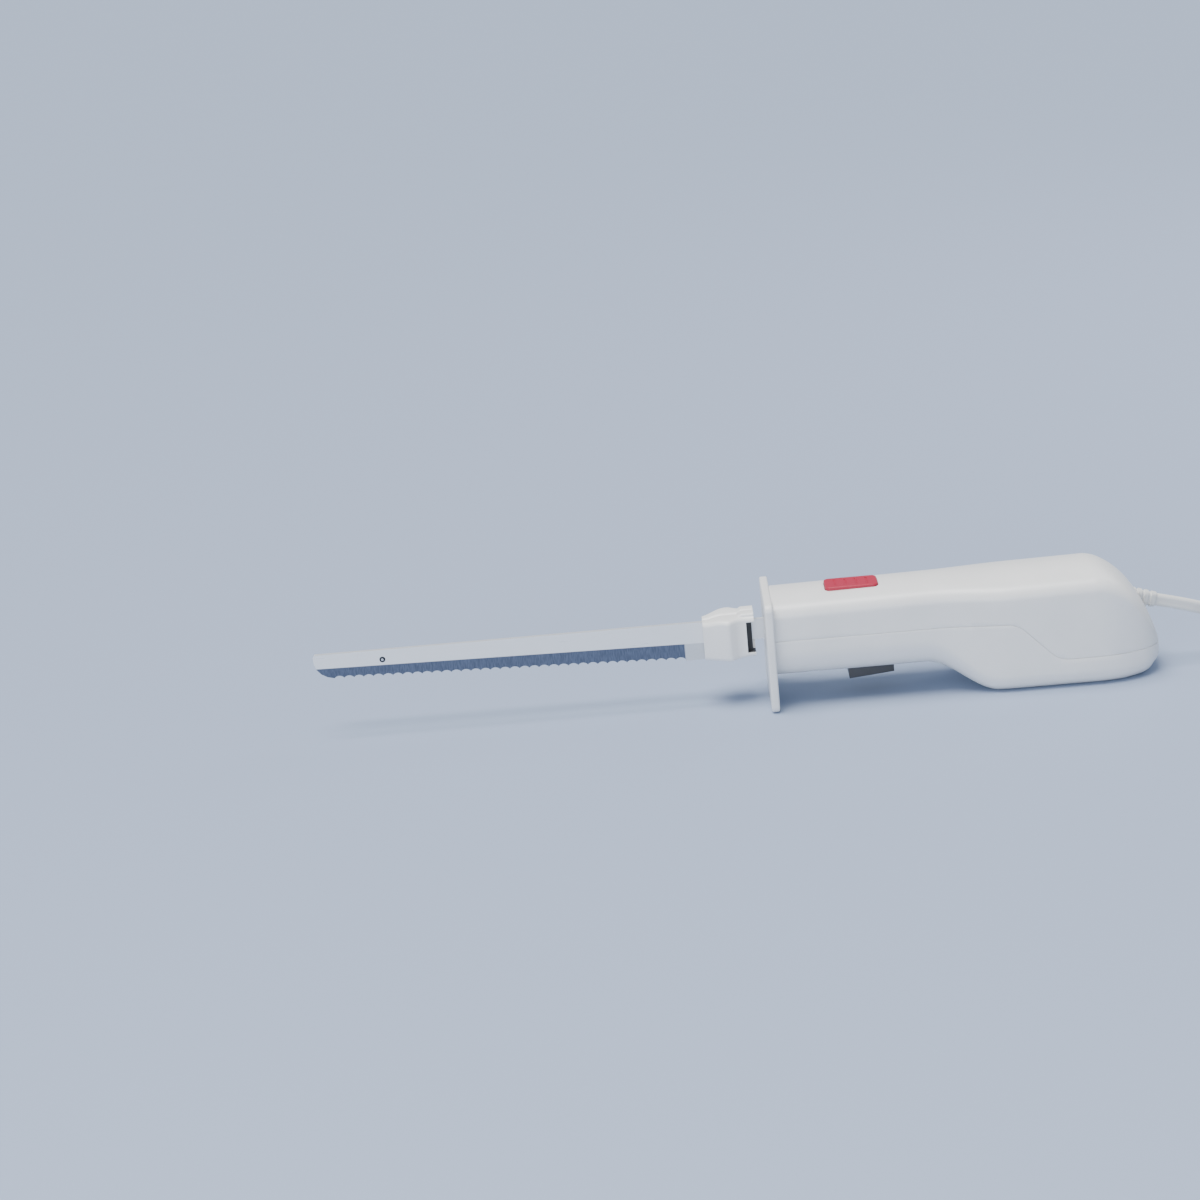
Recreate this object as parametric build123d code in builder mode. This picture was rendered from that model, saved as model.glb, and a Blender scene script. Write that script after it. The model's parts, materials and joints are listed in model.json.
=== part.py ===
from build123d import *
import os
from math import cos, pi, radians, sin, sqrt, tan

os.makedirs("parts", exist_ok=True)

# Electric carving knife, in millimetres. X runs from the blade tips to the rear of the handle, Z is up,
# and the left side, for the hand that holds it, is negative Y. The knife stands on the lower edge of its
# guard plate and on the belly at the rear of its handle, both at Z = 0, and X = 0 is the middle of its length.

# Whole knife
overall_length = 463.6
handle_length = 210.0
guard_thickness = 4.4
overrun = 6.0            # cutting solids pass the faces that they cut by this much
seat = 0.15              # gap between fixed pieces that fit into each other
running = 0.05           # radial clearance of a shaft or pin in its bearing
clearance = 0.3          # gap between pieces that move past each other

# Handle shells
wall = 2.5
grip_half_width = 22.5
bulb_half_width = 27.5
crown_front_z = 61.0
crown_rear_z = 63.3
grip_floor_z = 15.7
belly_relief = 0.4       # the belly is drawn this far below the table and cut flat on it
crown_share = 0.18       # rise of the crown over the shoulders, as a share of the half-width
shoulder_radius = 8.0
grip_floor_radius = 16.5
belly_radius = 10.0
rear_curve_length = 35.8
rear_nose_z = 12.5
seam_front_z = 39.3
seam_rear_z = 17.0
seam_fall_start = 22.0   # where the seam starts to fall and ends its fall, ahead of and behind its middle
seam_fall_to_rear = 68.8
seam_bend_radius = 14.0
rib_thickness = 2.4

# Ahead of the handle's rear: the floor falls from the grip to the belly between the first two distances,
# and the sides swell from grip to bulb between the other two
floor_fall_to_rear = (127.8, 89.8)
side_swell_to_rear = (123.8, 79.8)
swell_steps = 10

# Share of the rear curve's length, of its height over the nose, of the nose height taken up by the floor,
# and of the bulb's width
rear_share = (
    (0.12, 0.982, 0.0, 0.99),
    (0.26, 0.935, 0.0, 0.965),
    (0.39, 0.870, 0.0, 0.925),
    (0.51, 0.790, 0.02, 0.875),
    (0.62, 0.692, 0.04, 0.815),
    (0.715, 0.585, 0.07, 0.75),
    (0.80, 0.470, 0.14, 0.67),
    (0.88, 0.335, 0.30, 0.57),
    (0.945, 0.200, 0.50, 0.44),
    (1.0, 0.060, 0.74, 0.28),
)

# Guard plate
guard_width = 57.4
guard_height = 61.6
guard_corner_radius = 4.0
guard_foot_radius = 2.0
guard_slot_height = 15.4
guard_slot_width = 7.0
guard_rim_depth = 4.0
guard_rim_wall = 1.6

# Blades
blade_thickness = 1.0
blade_gap = 0.3
spine_z = 46.9
tip_height = 14.3
heel_height = 20.9
ricasso_height = 21.5
tooth_count = 36
tooth_depth = 1.3
nose_length = 10.7
ricasso_length = 23.0
flat_at_tip = 8.0
flat_at_heel = 11.8
edge_thickness = 0.2
tang_height = 11.5
tang_top_drop = 0.8
tang_station = 26.2      # end of the tangs, behind the handle's front
notch_length = 4.6
notch_depth = 1.5
notch_to_end = 7.0
rivet_from_tip = 38.3
rivet_drop = 5.5
rivet_head_radius = 1.65
rivet_shank_radius = 1.1
rivet_head_height = 0.5
nose_share = ((0.09, 0.0), (0.0, 0.10), (0.02, 0.36), (0.14, 0.60), (0.34, 0.79), (0.64, 0.93), (1.0, 1.0))

# Thumb collars: lengths are ahead of a collar's rear face
collar_rear_gap = 1.1    # between that face and the guard plate at full throw
collar_length = 28.1
collar_ridge_length = 13.8
collar_scoop_length = 5.5
collar_hood_length = 8.3
collar_over_heel = 12.3  # length of the blade's plain heel inside the collar
collar_front_half = 8.0
collar_ridge_half = 14.0
collar_scoop_half = 9.2
collar_bottom_z = 26.5
collar_top_z = 50.2
hood_half_width = 7.6
hood_height = 1.5
collar_edge_radius = 1.6

# Drive: the throw is the distance of each crank pin from the gear's axle
throw = 4.5
gear_to_rear = 123.8
gear_z = 42.0
gear_radius = 12.0
gear_thickness = 6.0
gear_hub_radius = 7.2
gear_hub_height = 1.4
gear_teeth = 36
gear_tooth_depth = 1.1
crank_pin_radius = 2.0
axle_radius = 2.0
worm_radius = 4.0
worm_length = 20.0
worm_groove_depth = 1.0
worm_groove_pitch = 2.1
motor_z = gear_z - gear_radius - worm_radius - clearance

# Drive slides
slide_bottom_z = 33.0
slide_top_z = 51.0
slide_block_half = 6.6
slide_block_station = 36.2
slide_jog_length = 4.0
slide_plate_near = 6.2
slide_plate_far = 9.0
slide_rear_top_z = 44.0
pivot_from_block_end = 11.5

# Latch levers
latch_height = 1.8
latch_near = 0.7
latch_far = 5.0
latch_pin_radius = 1.0
latch_tooth_length = 3.0
latch_rear_reach = 16.0
latch_ear_height = 1.9
latch_ear_length = 4.4
latch_angle = 16.0       # tilt when the button is down

# Release button
button_station = 30.0
button_length = 28.8
button_width = 16.5
button_corner_radius = 3.0
button_proud = 1.1
button_stroke = 2.5
button_flange = 1.8
button_flange_height = 1.4
button_leg_inset = 3.7
button_leg_length = 6.0
button_leg_half = 4.5
button_leg_slope = 4.2   # length of the leg's slanted front foot
button_ridge_width = 1.2
button_ridge_height = 0.5
spring_width = 4.0
spring_thickness = 0.5

# Trigger
trigger_station = 40.0
trigger_length = 24.7
trigger_half_width = 6.8
trigger_drop = 4.8
trigger_lip_drop = 7.0
trigger_top_z = 21.0
trigger_pivot_reach = 29.2
trigger_pivot_z = 21.8
trigger_pin_radius = 1.25
trigger_boss_radius = 2.6
trigger_corner_radius = 1.2
trigger_angle = 7.0
trigger_pin_half = 9.4

# Gear frame and switch
frame_station = 40.7
frame_near = 11.0
frame_far = 13.5
frame_bottom_z = 22.5
frame_top_z = 53.2
frame_plate = 2.0
frame_window_reach = 14.0
bridge_inset = 6.5
bridge_length = 13.0
bulkhead_to_rear = 103.3
bulkhead_thickness = 3.0
switch_inset = 3.5
switch_length = 20.0
switch_half_width = 5.0
switch_height = 6.4
plunger_inset = 6.0
plunger_radius = 1.5
plunger_stroke = 2.5

# Motor
shaft_radius = 2.5
shaft_overhang = 2.0     # of the shaft ahead of the worm
shaft_to_rear = 25.8
bearing_radius = 5.0
bearing_length = 6.0
fan_to_rear = 97.8
fan_radius = 17.0
fan_disc = 1.6
fan_blade_height = 5.0
fan_blade_count = 11
fan_blade_thickness = 1.2
fan_hub_radius = 5.0
core_to_rear = 81.8
core_length = 26.0
core_half_width = 20.0
core_half_height = 21.0
core_iron = 3.4
bore_radius = 12.2
pole_half_width = 7.0
shoe_thickness = 2.6
armature_radius = 11.5
armature_slots = 11
slot_width = 1.6
slot_depth = 3.0
coil_width = 6.2
winding_radius = 10.2
winding_length = 5.5
commutator_to_rear = 46.8
commutator_length = 8.5
commutator_radius = 7.0
commutator_bars = 22
bar_groove = 0.5
brush_length = 8.0
brush_size = 4.0
holder_wall = 1.2
holder_length = 11.5
bracket_to_rear = 34.8
bracket_thickness = 3.0
bracket_half = 19.0

# Shell screws: one pair is behind the handle's front, the other ahead of its rear
screw_front_station = 21.0
screw_to_rear = 20.5
screw_front_half = 12.0
screw_rear_half = 9.0
screw_radius = 1.5
screw_head_radius = 2.9
screw_head_height = 2.2
screw_bite = 8.0
screw_seat_depth = 4.5   # depth of each head's seat over the shell's floor
boss_radius = 3.1

# Cord
cord_width = 7.2
cord_thickness = 3.7
relief_to_rear = 25.8
relief_z = 43.5
relief_length = 26.0
relief_slope = 14.0      # degrees below level
relief_root_width = 12.0
relief_root_thickness = 8.4
relief_tip_width = 8.6
relief_tip_thickness = 5.2
relief_collar_length = 3.0
relief_collar_extra = 1.6
bend_share = 0.48
# Points of the free stretch between the relief and the coil: distance behind the handle, Y and Z
free_route = (
    (12.6, 0.0, 33.9),
    (28.2, 0.6, 28.7),
    (46.5, 6.2, 20.8),
    (62.0, 17.0, 12.6),
    (77.0, 29.0, 6.6),
    (92.5, 39.0, 4.0),
    (108.2, 43.7, 3.6),
)
coil_reach = 122.2       # of the coil's start behind the handle
coil_start_y = 43.7
coil_middle_radius = 36.2
coil_pitch = 4.3
coil_gap = 0.6
coil_half_turns = 5      # half turns in the lower layer, and again in the upper one
quarter_share = 0.5523   # handle of a curve that stands for a quarter circle, as a share of its radius
climb_share = 0.2
# Points of the tail from the coil's end to the plug, which lies on the coil: X, Y and height over that end
tail_route = (
    (-12.2, 0.0, 0.8),
    (-23.7, 4.7, 4.0),
    (-32.4, 13.5, 7.6),
    (-37.2, 25.0, 10.4),
    (-37.2, 37.2, 11.4),
)

# Mains plug
plug_length = 25.0
plug_width = 24.0
plug_height = 15.0
plug_taper_share = 0.6
plug_neck_width = 9.6
plug_neck_height = 9.0
plug_blade_length = 16.0
plug_blade_width = 6.3
plug_blade_thickness = 1.5
plug_blade_spacing = 12.7

# Places along X: the blades and the front of the mechanism follow the guard plate and the handle's front,
# and the gear, the motor and the bulb follow the handle's rear
handle_rear_x = overall_length / 2
handle_front_x = handle_rear_x - handle_length
guard_front_x = handle_front_x - guard_thickness
blade_tip_x = -overall_length / 2
collar_rear_x = guard_front_x - throw - collar_rear_gap
collar_front_x = collar_rear_x - collar_length
collar_ridge_x = collar_rear_x - collar_ridge_length
collar_scoop_x = collar_rear_x - collar_scoop_length
hood_front_x = collar_rear_x - collar_hood_length
tang_end_x = handle_front_x + tang_station
slide_block_end_x = handle_front_x + slide_block_station
slide_jog_x = slide_block_end_x - slide_jog_length
button_front_x = handle_front_x + button_station
button_leg_front_x = button_front_x + button_leg_inset
trigger_front_x = handle_front_x + trigger_station
trigger_pivot_x = trigger_front_x + trigger_pivot_reach
frame_front_x = handle_front_x + frame_station
bridge_front_x = frame_front_x + bridge_inset
switch_front_x = frame_front_x + switch_inset
plunger_x = switch_front_x + plunger_inset
gear_x = handle_rear_x - gear_to_rear
frame_window_x = gear_x - frame_window_reach
bulkhead_x = handle_rear_x - bulkhead_to_rear
slide_end_x = bulkhead_x - throw - clearance
shaft_front_x = gear_x - worm_length / 2 - shaft_overhang
shaft_rear_x = handle_rear_x - shaft_to_rear
fan_x = handle_rear_x - fan_to_rear
core_front_x = handle_rear_x - core_to_rear
commutator_x = handle_rear_x - commutator_to_rear
bracket_x = handle_rear_x - bracket_to_rear
relief_x = handle_rear_x - relief_to_rear
coil_x = handle_rear_x + coil_reach
floor_fall_x = [handle_rear_x - distance for distance in floor_fall_to_rear]
side_swell_x = [handle_rear_x - distance for distance in side_swell_to_rear]
seam_fall_x = handle_rear_x - seam_fall_to_rear


def side_plane(side, distance):
    """Plane of constant Y at a distance from the middle, on the left (-1) or the right (1)."""
    return Plane.XZ.offset(-side * distance)


def outwards(side, thickness):
    """Signed extrusion that runs away from the middle on the given side."""
    return -side * thickness


def on_axis(x):
    """Plane across the motor's line at the given X, with its origin on the line."""
    return Plane(origin=(x, 0, motor_z), x_dir=(0, 1, 0), z_dir=(1, 0, 0))


def finish(piece, name):
    """Label a finished piece and write it."""
    piece.part.label = name
    export_step(piece.part, f"parts/{name}.step")


# Handle

rear_curve_x = handle_rear_x - rear_curve_length
straight_length = rear_curve_x - handle_front_x


def smooth_share(x, span):
    """Share of a smooth rise from 0 to 1 between the two ends of a span."""
    share = min(max((x - span[0]) / (span[1] - span[0]), 0), 1)
    return share * share * (3 - 2 * share)


def crown_z_at(x):
    """Height of the crown along the straight part of the handle."""
    share = (x - handle_front_x) / straight_length
    return crown_front_z + (crown_rear_z - crown_front_z) * min(max(share, 0), 1)


def draw_section(x, half_width, floor_z, crown_z, top_radius, floor_radius):
    """Cross-section of the handle: flat floor, upright sides, crowned top and rounded corners."""
    shoulder_z = crown_z - crown_share * half_width
    limit_share = 0.9
    limit = min(half_width, (shoulder_z - floor_z) / 2) * limit_share
    with BuildSketch(Plane.YZ.offset(x)) as section:
        with BuildLine():
            Polyline(
                (-half_width, shoulder_z),
                (-half_width, floor_z),
                (half_width, floor_z),
                (half_width, shoulder_z),
            )
            ThreePointArc((half_width, shoulder_z), (0, crown_z), (-half_width, shoulder_z))
        make_face()
        fillet(section.vertices().group_by(Axis.Y)[0], min(floor_radius, limit))
        fillet(section.vertices().group_by(Axis.Y)[-1], min(top_radius, limit))
    return section.sketch


def handle_sections(inset):
    """Cross-sections along the handle's form, drawn in by an inset."""
    sections = []
    swell_length = side_swell_x[1] - floor_fall_x[0]
    stations = [handle_front_x - overrun * min(inset, 1)]
    stations += [floor_fall_x[0] + swell_length * step / swell_steps for step in range(swell_steps + 1)]
    stations += [rear_curve_x]
    for x in stations:
        swell = smooth_share(x, side_swell_x)
        fall = smooth_share(x, floor_fall_x)
        half_width = grip_half_width + (bulb_half_width - grip_half_width) * swell
        floor_z = grip_floor_z * (1 - fall) - belly_relief * fall
        floor_radius = grip_floor_radius + (belly_radius - grip_floor_radius) * fall
        sections.append(
            draw_section(
                x,
                half_width - inset,
                floor_z + inset,
                crown_z_at(x) - inset,
                shoulder_radius - inset,
                floor_radius - inset,
            )
        )
    rear_length = rear_curve_length - inset
    for length_share, height_share, floor_share, width_share in rear_share:
        sections.append(
            draw_section(
                rear_curve_x + rear_length * length_share,
                (bulb_half_width - inset) * width_share,
                (rear_nose_z + belly_relief - inset) * floor_share + inset - belly_relief,
                rear_nose_z + (crown_rear_z - rear_nose_z - inset) * height_share,
                shoulder_radius - inset,
                belly_radius - inset,
            )
        )
    return sections


with BuildPart() as body_form:
    loft(sections=handle_sections(0), ruled=True)
    with BuildSketch(Plane.XY) as table:
        with Locations((handle_front_x + handle_length / 2, 0)):
            Rectangle(handle_length * 2, guard_width * 2)
    extrude(amount=-overrun, mode=Mode.SUBTRACT)

with BuildPart() as cavity:
    loft(sections=handle_sections(wall), ruled=True)

with BuildPart() as lower_region:
    with BuildSketch(Plane.XZ):
        with BuildLine():
            FilletPolyline(
                (handle_front_x - overrun, seam_front_z),
                (seam_fall_x - seam_fall_start / 2, seam_front_z),
                (seam_fall_x + seam_fall_start / 2, seam_rear_z),
                (handle_rear_x + overrun, seam_rear_z),
                radius=seam_bend_radius,
            )
            Polyline(
                (handle_rear_x + overrun, seam_rear_z),
                (handle_rear_x + overrun, -overrun),
                (handle_front_x - overrun, -overrun),
                (handle_front_x - overrun, seam_front_z),
            )
        make_face()
    extrude(amount=guard_width, both=True)

# Button opening, trigger opening and cord hole follow the pieces that pass through them
button_middle_x = button_front_x + button_length / 2
trigger_middle_x = trigger_front_x + trigger_length / 2
trigger_swing = (trigger_pivot_z - grip_floor_z + trigger_lip_drop) * sin(radians(trigger_angle))
screw_spots = [
    (handle_front_x + screw_front_station, screw_front_half, grip_floor_z),
    (handle_front_x + screw_front_station, -screw_front_half, grip_floor_z),
    (handle_rear_x - screw_to_rear, screw_rear_half, 0),
    (handle_rear_x - screw_to_rear, -screw_rear_half, 0),
]
rib_spots = (
    (frame_front_x + rib_thickness / 2, frame_bottom_z),
    (bulkhead_x + rib_thickness / 2, frame_bottom_z),
    (core_front_x + rib_thickness, motor_z - core_half_height),
    (core_front_x + core_length - rib_thickness, motor_z - core_half_height),
    (bracket_x + bracket_thickness / 2, motor_z - bracket_half),
)
relief_plane = Plane(
    origin=(relief_x, 0, relief_z),
    x_dir=(sin(radians(relief_slope)), 0, cos(radians(relief_slope))),
    z_dir=(cos(radians(relief_slope)), 0, -sin(radians(relief_slope))),
)


with BuildPart() as upper_bosses:
    for x, y, floor_z in screw_spots:
        with BuildSketch(Plane.XY.offset(seam_front_z if x < seam_fall_x else seam_rear_z)):
            with Locations((x, y)):
                Circle(boss_radius)
        extrude(amount=crown_rear_z)
    add(cavity.part, mode=Mode.INTERSECT)

with BuildPart() as upper_shell:
    add(body_form.part)
    add(cavity.part, mode=Mode.SUBTRACT)
    add(lower_region.part, mode=Mode.SUBTRACT)
    add(upper_bosses.part)
    for x, y, floor_z in screw_spots:
        with BuildSketch(Plane.XY.offset(seam_front_z if x < seam_fall_x else seam_rear_z)):
            with Locations((x, y)):
                Circle(screw_radius)
        extrude(amount=screw_bite + clearance, mode=Mode.SUBTRACT)
    with BuildSketch(Plane.XY.offset(crown_rear_z - shoulder_radius)):
        with Locations((button_middle_x, 0)):
            RectangleRounded(button_length + 2 * clearance, button_width + 2 * clearance, button_corner_radius)
    extrude(amount=shoulder_radius + overrun, mode=Mode.SUBTRACT)
    with BuildSketch(relief_plane):
        RectangleRounded(relief_root_width, relief_root_thickness, relief_root_thickness / 3)
    extrude(amount=relief_length, mode=Mode.SUBTRACT)
finish(upper_shell, "upper_shell")

with BuildPart() as lower_ribs:
    for x, top_z in rib_spots:
        with BuildSketch(Plane.YZ.offset(x - rib_thickness / 2)):
            with Locations((0, top_z / 2)):
                Rectangle(2 * bulb_half_width, top_z)
        extrude(amount=rib_thickness)
    for x, y, floor_z in screw_spots:
        with BuildSketch(Plane.XY):
            with Locations((x, y)):
                Circle(boss_radius)
        extrude(amount=seam_front_z if x < seam_fall_x else seam_rear_z)
    for side in (-1, 1):
        with BuildSketch(side_plane(side, trigger_half_width + 2 * clearance)):
            with Locations((trigger_pivot_x, trigger_pivot_z / 2)):
                Rectangle(2 * trigger_boss_radius, trigger_pivot_z)
            with Locations((trigger_pivot_x, trigger_pivot_z)):
                Circle(trigger_boss_radius)
        extrude(amount=outwards(side, rib_thickness))
    with BuildSketch(Plane.XY.offset(grip_floor_z)):
        with Locations((trigger_middle_x - trigger_swing / 2, 0)):
            Rectangle(
                trigger_length + trigger_swing + 2 * clearance, 2 * trigger_half_width + 4 * clearance
            )
    extrude(amount=trigger_pivot_z, mode=Mode.SUBTRACT)
    with BuildSketch(on_axis(bulkhead_x - bearing_length)):
        Circle(bearing_radius + clearance)
    extrude(amount=2 * bearing_length, mode=Mode.SUBTRACT)
    add(cavity.part, mode=Mode.INTERSECT)

with BuildPart() as lower_shell:
    add(body_form.part)
    add(cavity.part, mode=Mode.SUBTRACT)
    add(lower_region.part, mode=Mode.INTERSECT)
    add(lower_ribs.part)
    for x, y, floor_z in screw_spots:
        with BuildSketch(Plane.XY.offset(-overrun)):
            with Locations((x, y)):
                Circle(screw_radius + seat)
        extrude(amount=seam_front_z + 2 * overrun, mode=Mode.SUBTRACT)
        with BuildSketch(Plane.XY.offset(floor_z - overrun)):
            with Locations((x, y)):
                Circle(screw_head_radius + seat)
        extrude(amount=overrun + screw_seat_depth, mode=Mode.SUBTRACT)
    with BuildSketch(Plane.XY.offset(grip_floor_z - overrun)):
        with Locations((trigger_middle_x - trigger_swing / 2, 0)):
            Rectangle(trigger_length + trigger_swing + 2 * clearance, 2 * (trigger_half_width + clearance))
    extrude(amount=2 * overrun, mode=Mode.SUBTRACT)
    with BuildSketch(Plane.XZ.offset(-trigger_pin_half)):
        with Locations((trigger_pivot_x, trigger_pivot_z)):
            Circle(trigger_pin_radius)
    extrude(amount=2 * trigger_pin_half, mode=Mode.SUBTRACT)
finish(lower_shell, "lower_shell")

with BuildPart() as guard_rim_form:
    loft(sections=handle_sections(wall + seat)[:2], ruled=True)
    add(
        loft(sections=handle_sections(wall + seat + guard_rim_wall)[:2], ruled=True, mode=Mode.PRIVATE),
        mode=Mode.SUBTRACT,
    )
    with BuildSketch(Plane.YZ.offset(handle_front_x)):
        Rectangle(2 * guard_width, 4 * guard_height)
    extrude(amount=guard_rim_depth, mode=Mode.INTERSECT)

tang_top_z = spine_z - tang_top_drop
tang_middle_z = tang_top_z - tang_height / 2

with BuildPart() as guard_plate:
    with BuildSketch(Plane.YZ.offset(guard_front_x)) as guard_outline:
        with Locations((0, guard_height / 2)):
            Rectangle(guard_width, guard_height)
        fillet(guard_outline.vertices().group_by(Axis.Y)[-1], guard_corner_radius)
        fillet(guard_outline.vertices().group_by(Axis.Y)[0], guard_foot_radius)
        with Locations((0, tang_middle_z)):
            RectangleRounded(guard_slot_width, guard_slot_height, guard_foot_radius, mode=Mode.SUBTRACT)
    extrude(amount=guard_thickness)
    add(guard_rim_form.part)
finish(guard_plate, "guard_plate")

# Blades

shoulder_x = collar_front_x + collar_over_heel
teeth_front_x = blade_tip_x + nose_length
teeth_rear_x = shoulder_x - ricasso_length
toothed_length = teeth_rear_x - teeth_front_x
rivet_x = blade_tip_x + rivet_from_tip
rivet_z = spine_z - rivet_drop
blade_near = blade_gap / 2
blade_far = blade_near + blade_thickness
stroke = 2 * throw


def edge_z_at(share):
    """Height of the tooth points, from the front (0) to the rear (1) of the toothed length."""
    return spine_z - tip_height - (heel_height - tip_height) * share


def make_blade(side):
    """One flat blade: rounded nose, scalloped teeth, ground bevel, plain heel and a notched tang."""
    nose = [(blade_tip_x + nose_length * along, spine_z - tip_height * down) for along, down in nose_share]
    points = [
        (teeth_front_x + toothed_length * step / tooth_count, edge_z_at(step / tooth_count))
        for step in range(tooth_count + 1)
    ]
    with BuildPart() as blade:
        with BuildSketch(side_plane(side, blade_near)):
            with BuildLine():
                Polyline(*nose)
                for front, rear in zip(points[:-1], points[1:]):
                    middle = ((front[0] + rear[0]) / 2, (front[1] + rear[1]) / 2 + tooth_depth)
                    ThreePointArc(front, middle, rear)
                Polyline(
                    points[-1],
                    (teeth_rear_x, spine_z - ricasso_height),
                    (shoulder_x, spine_z - ricasso_height),
                    (shoulder_x, tang_top_z - tang_height),
                    (tang_end_x, tang_top_z - tang_height),
                    (tang_end_x, tang_top_z),
                    (tang_end_x - notch_to_end, tang_top_z),
                    (tang_end_x - notch_to_end, tang_top_z - notch_depth),
                    (tang_end_x - notch_to_end - notch_length, tang_top_z - notch_depth),
                    (tang_end_x - notch_to_end - notch_length, tang_top_z),
                    (shoulder_x, tang_top_z),
                    (shoulder_x, spine_z),
                    nose[0],
                )
            make_face()
        extrude(amount=outwards(side, blade_thickness))
        bevel = []
        for x, flat, height in (
            (blade_tip_x, flat_at_tip, tip_height),
            (teeth_rear_x, flat_at_heel, heel_height),
        ):
            with BuildSketch(Plane.YZ.offset(x), mode=Mode.PRIVATE) as wedge:
                with BuildLine():
                    Polyline(
                        (side * blade_far, spine_z - flat),
                        (side * (blade_far + overrun), spine_z - flat),
                        (side * (blade_far + overrun), spine_z - height - tooth_depth),
                        (side * (blade_near + edge_thickness), spine_z - height),
                        close=True,
                    )
                make_face()
            bevel.append(wedge.sketch)
        loft(sections=bevel, ruled=True, mode=Mode.SUBTRACT)
        with BuildSketch(side_plane(side, 0)):
            with Locations((rivet_x, rivet_z)):
                if side > 0:
                    SlotOverall(
                        2 * stroke + 2 * (rivet_shank_radius + clearance),
                        2 * (rivet_shank_radius + clearance),
                    )
                else:
                    Circle(rivet_shank_radius)
        extrude(amount=outwards(side, blade_far + overrun), mode=Mode.SUBTRACT)
    return blade


def make_collar(side, blade):
    """Moulded thumb pad on one blade: a flaring front, a scooped rear and a hood over the top."""
    with BuildPart() as collar:
        with BuildSketch(Plane.XY.offset(collar_bottom_z)):
            with BuildLine():
                Polyline(
                    (collar_rear_x, side * collar_scoop_half),
                    (collar_rear_x, side * blade_near),
                    (collar_front_x, side * blade_near),
                    (collar_front_x, side * collar_front_half),
                    (collar_ridge_x, side * collar_ridge_half),
                )
                ThreePointArc(
                    (collar_ridge_x, side * collar_ridge_half),
                    (
                        (collar_ridge_x + collar_scoop_x) / 2,
                        side * (collar_scoop_half + (collar_ridge_half - collar_scoop_half) / 3),
                    ),
                    (collar_scoop_x, side * collar_scoop_half),
                )
                Line((collar_scoop_x, side * collar_scoop_half), (collar_rear_x, side * collar_scoop_half))
            make_face()
        extrude(amount=collar_top_z - collar_bottom_z)
        outer = collar.edges().filter_by(Axis.Z, reverse=True).filter_by(
            lambda edge: abs((edge @ 0.5).Y) > blade_near * 2 and abs((edge @ 0.5).X - collar_rear_x) > seat
        )
        fillet(outer, collar_edge_radius)
        with BuildSketch(Plane.XY.offset(collar_top_z - hood_height)):
            with Locations(((hood_front_x + collar_rear_x) / 2, side * (blade_near + hood_half_width) / 2)):
                Rectangle(collar_rear_x - hood_front_x, hood_half_width - blade_near)
        extrude(amount=2 * hood_height)
        add(blade.part, mode=Mode.SUBTRACT)
    return collar


for side, name in ((-1, "left"), (1, "right")):
    blade = make_blade(side)
    finish(blade, f"blade_{name}")
    finish(make_collar(side, blade), f"thumb_collar_{name}")

with BuildPart() as tip_rivet:
    with BuildSketch(side_plane(-1, blade_far)):
        with Locations((rivet_x, rivet_z)):
            Circle(rivet_head_radius)
    extrude(amount=outwards(-1, rivet_head_height))
    with BuildSketch(side_plane(1, -blade_far)):
        with Locations((rivet_x, rivet_z)):
            Circle(rivet_shank_radius)
    extrude(amount=outwards(1, 2 * blade_far + seat))
    with BuildSketch(side_plane(1, blade_far + seat)):
        with Locations((rivet_x, rivet_z)):
            Circle(rivet_head_radius)
    extrude(amount=outwards(1, rivet_head_height))
finish(tip_rivet, "tip_rivet")

# Drive slides and latches

slide_front_x = handle_front_x + throw + 2 * clearance
window_half_length = 2 * throw + crank_pin_radius + clearance
window_half_height = throw + crank_pin_radius + clearance
latch_pivot_x = slide_block_end_x - pivot_from_block_end
latch_pivot_z = slide_top_z + clearance + latch_height / 2
latch_tooth_x = tang_end_x - notch_to_end - notch_length / 2
latch_tooth_reach = latch_pivot_x - latch_tooth_x
latch_swing = (latch_pivot_z - tang_top_z) * sin(radians(latch_angle))


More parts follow.
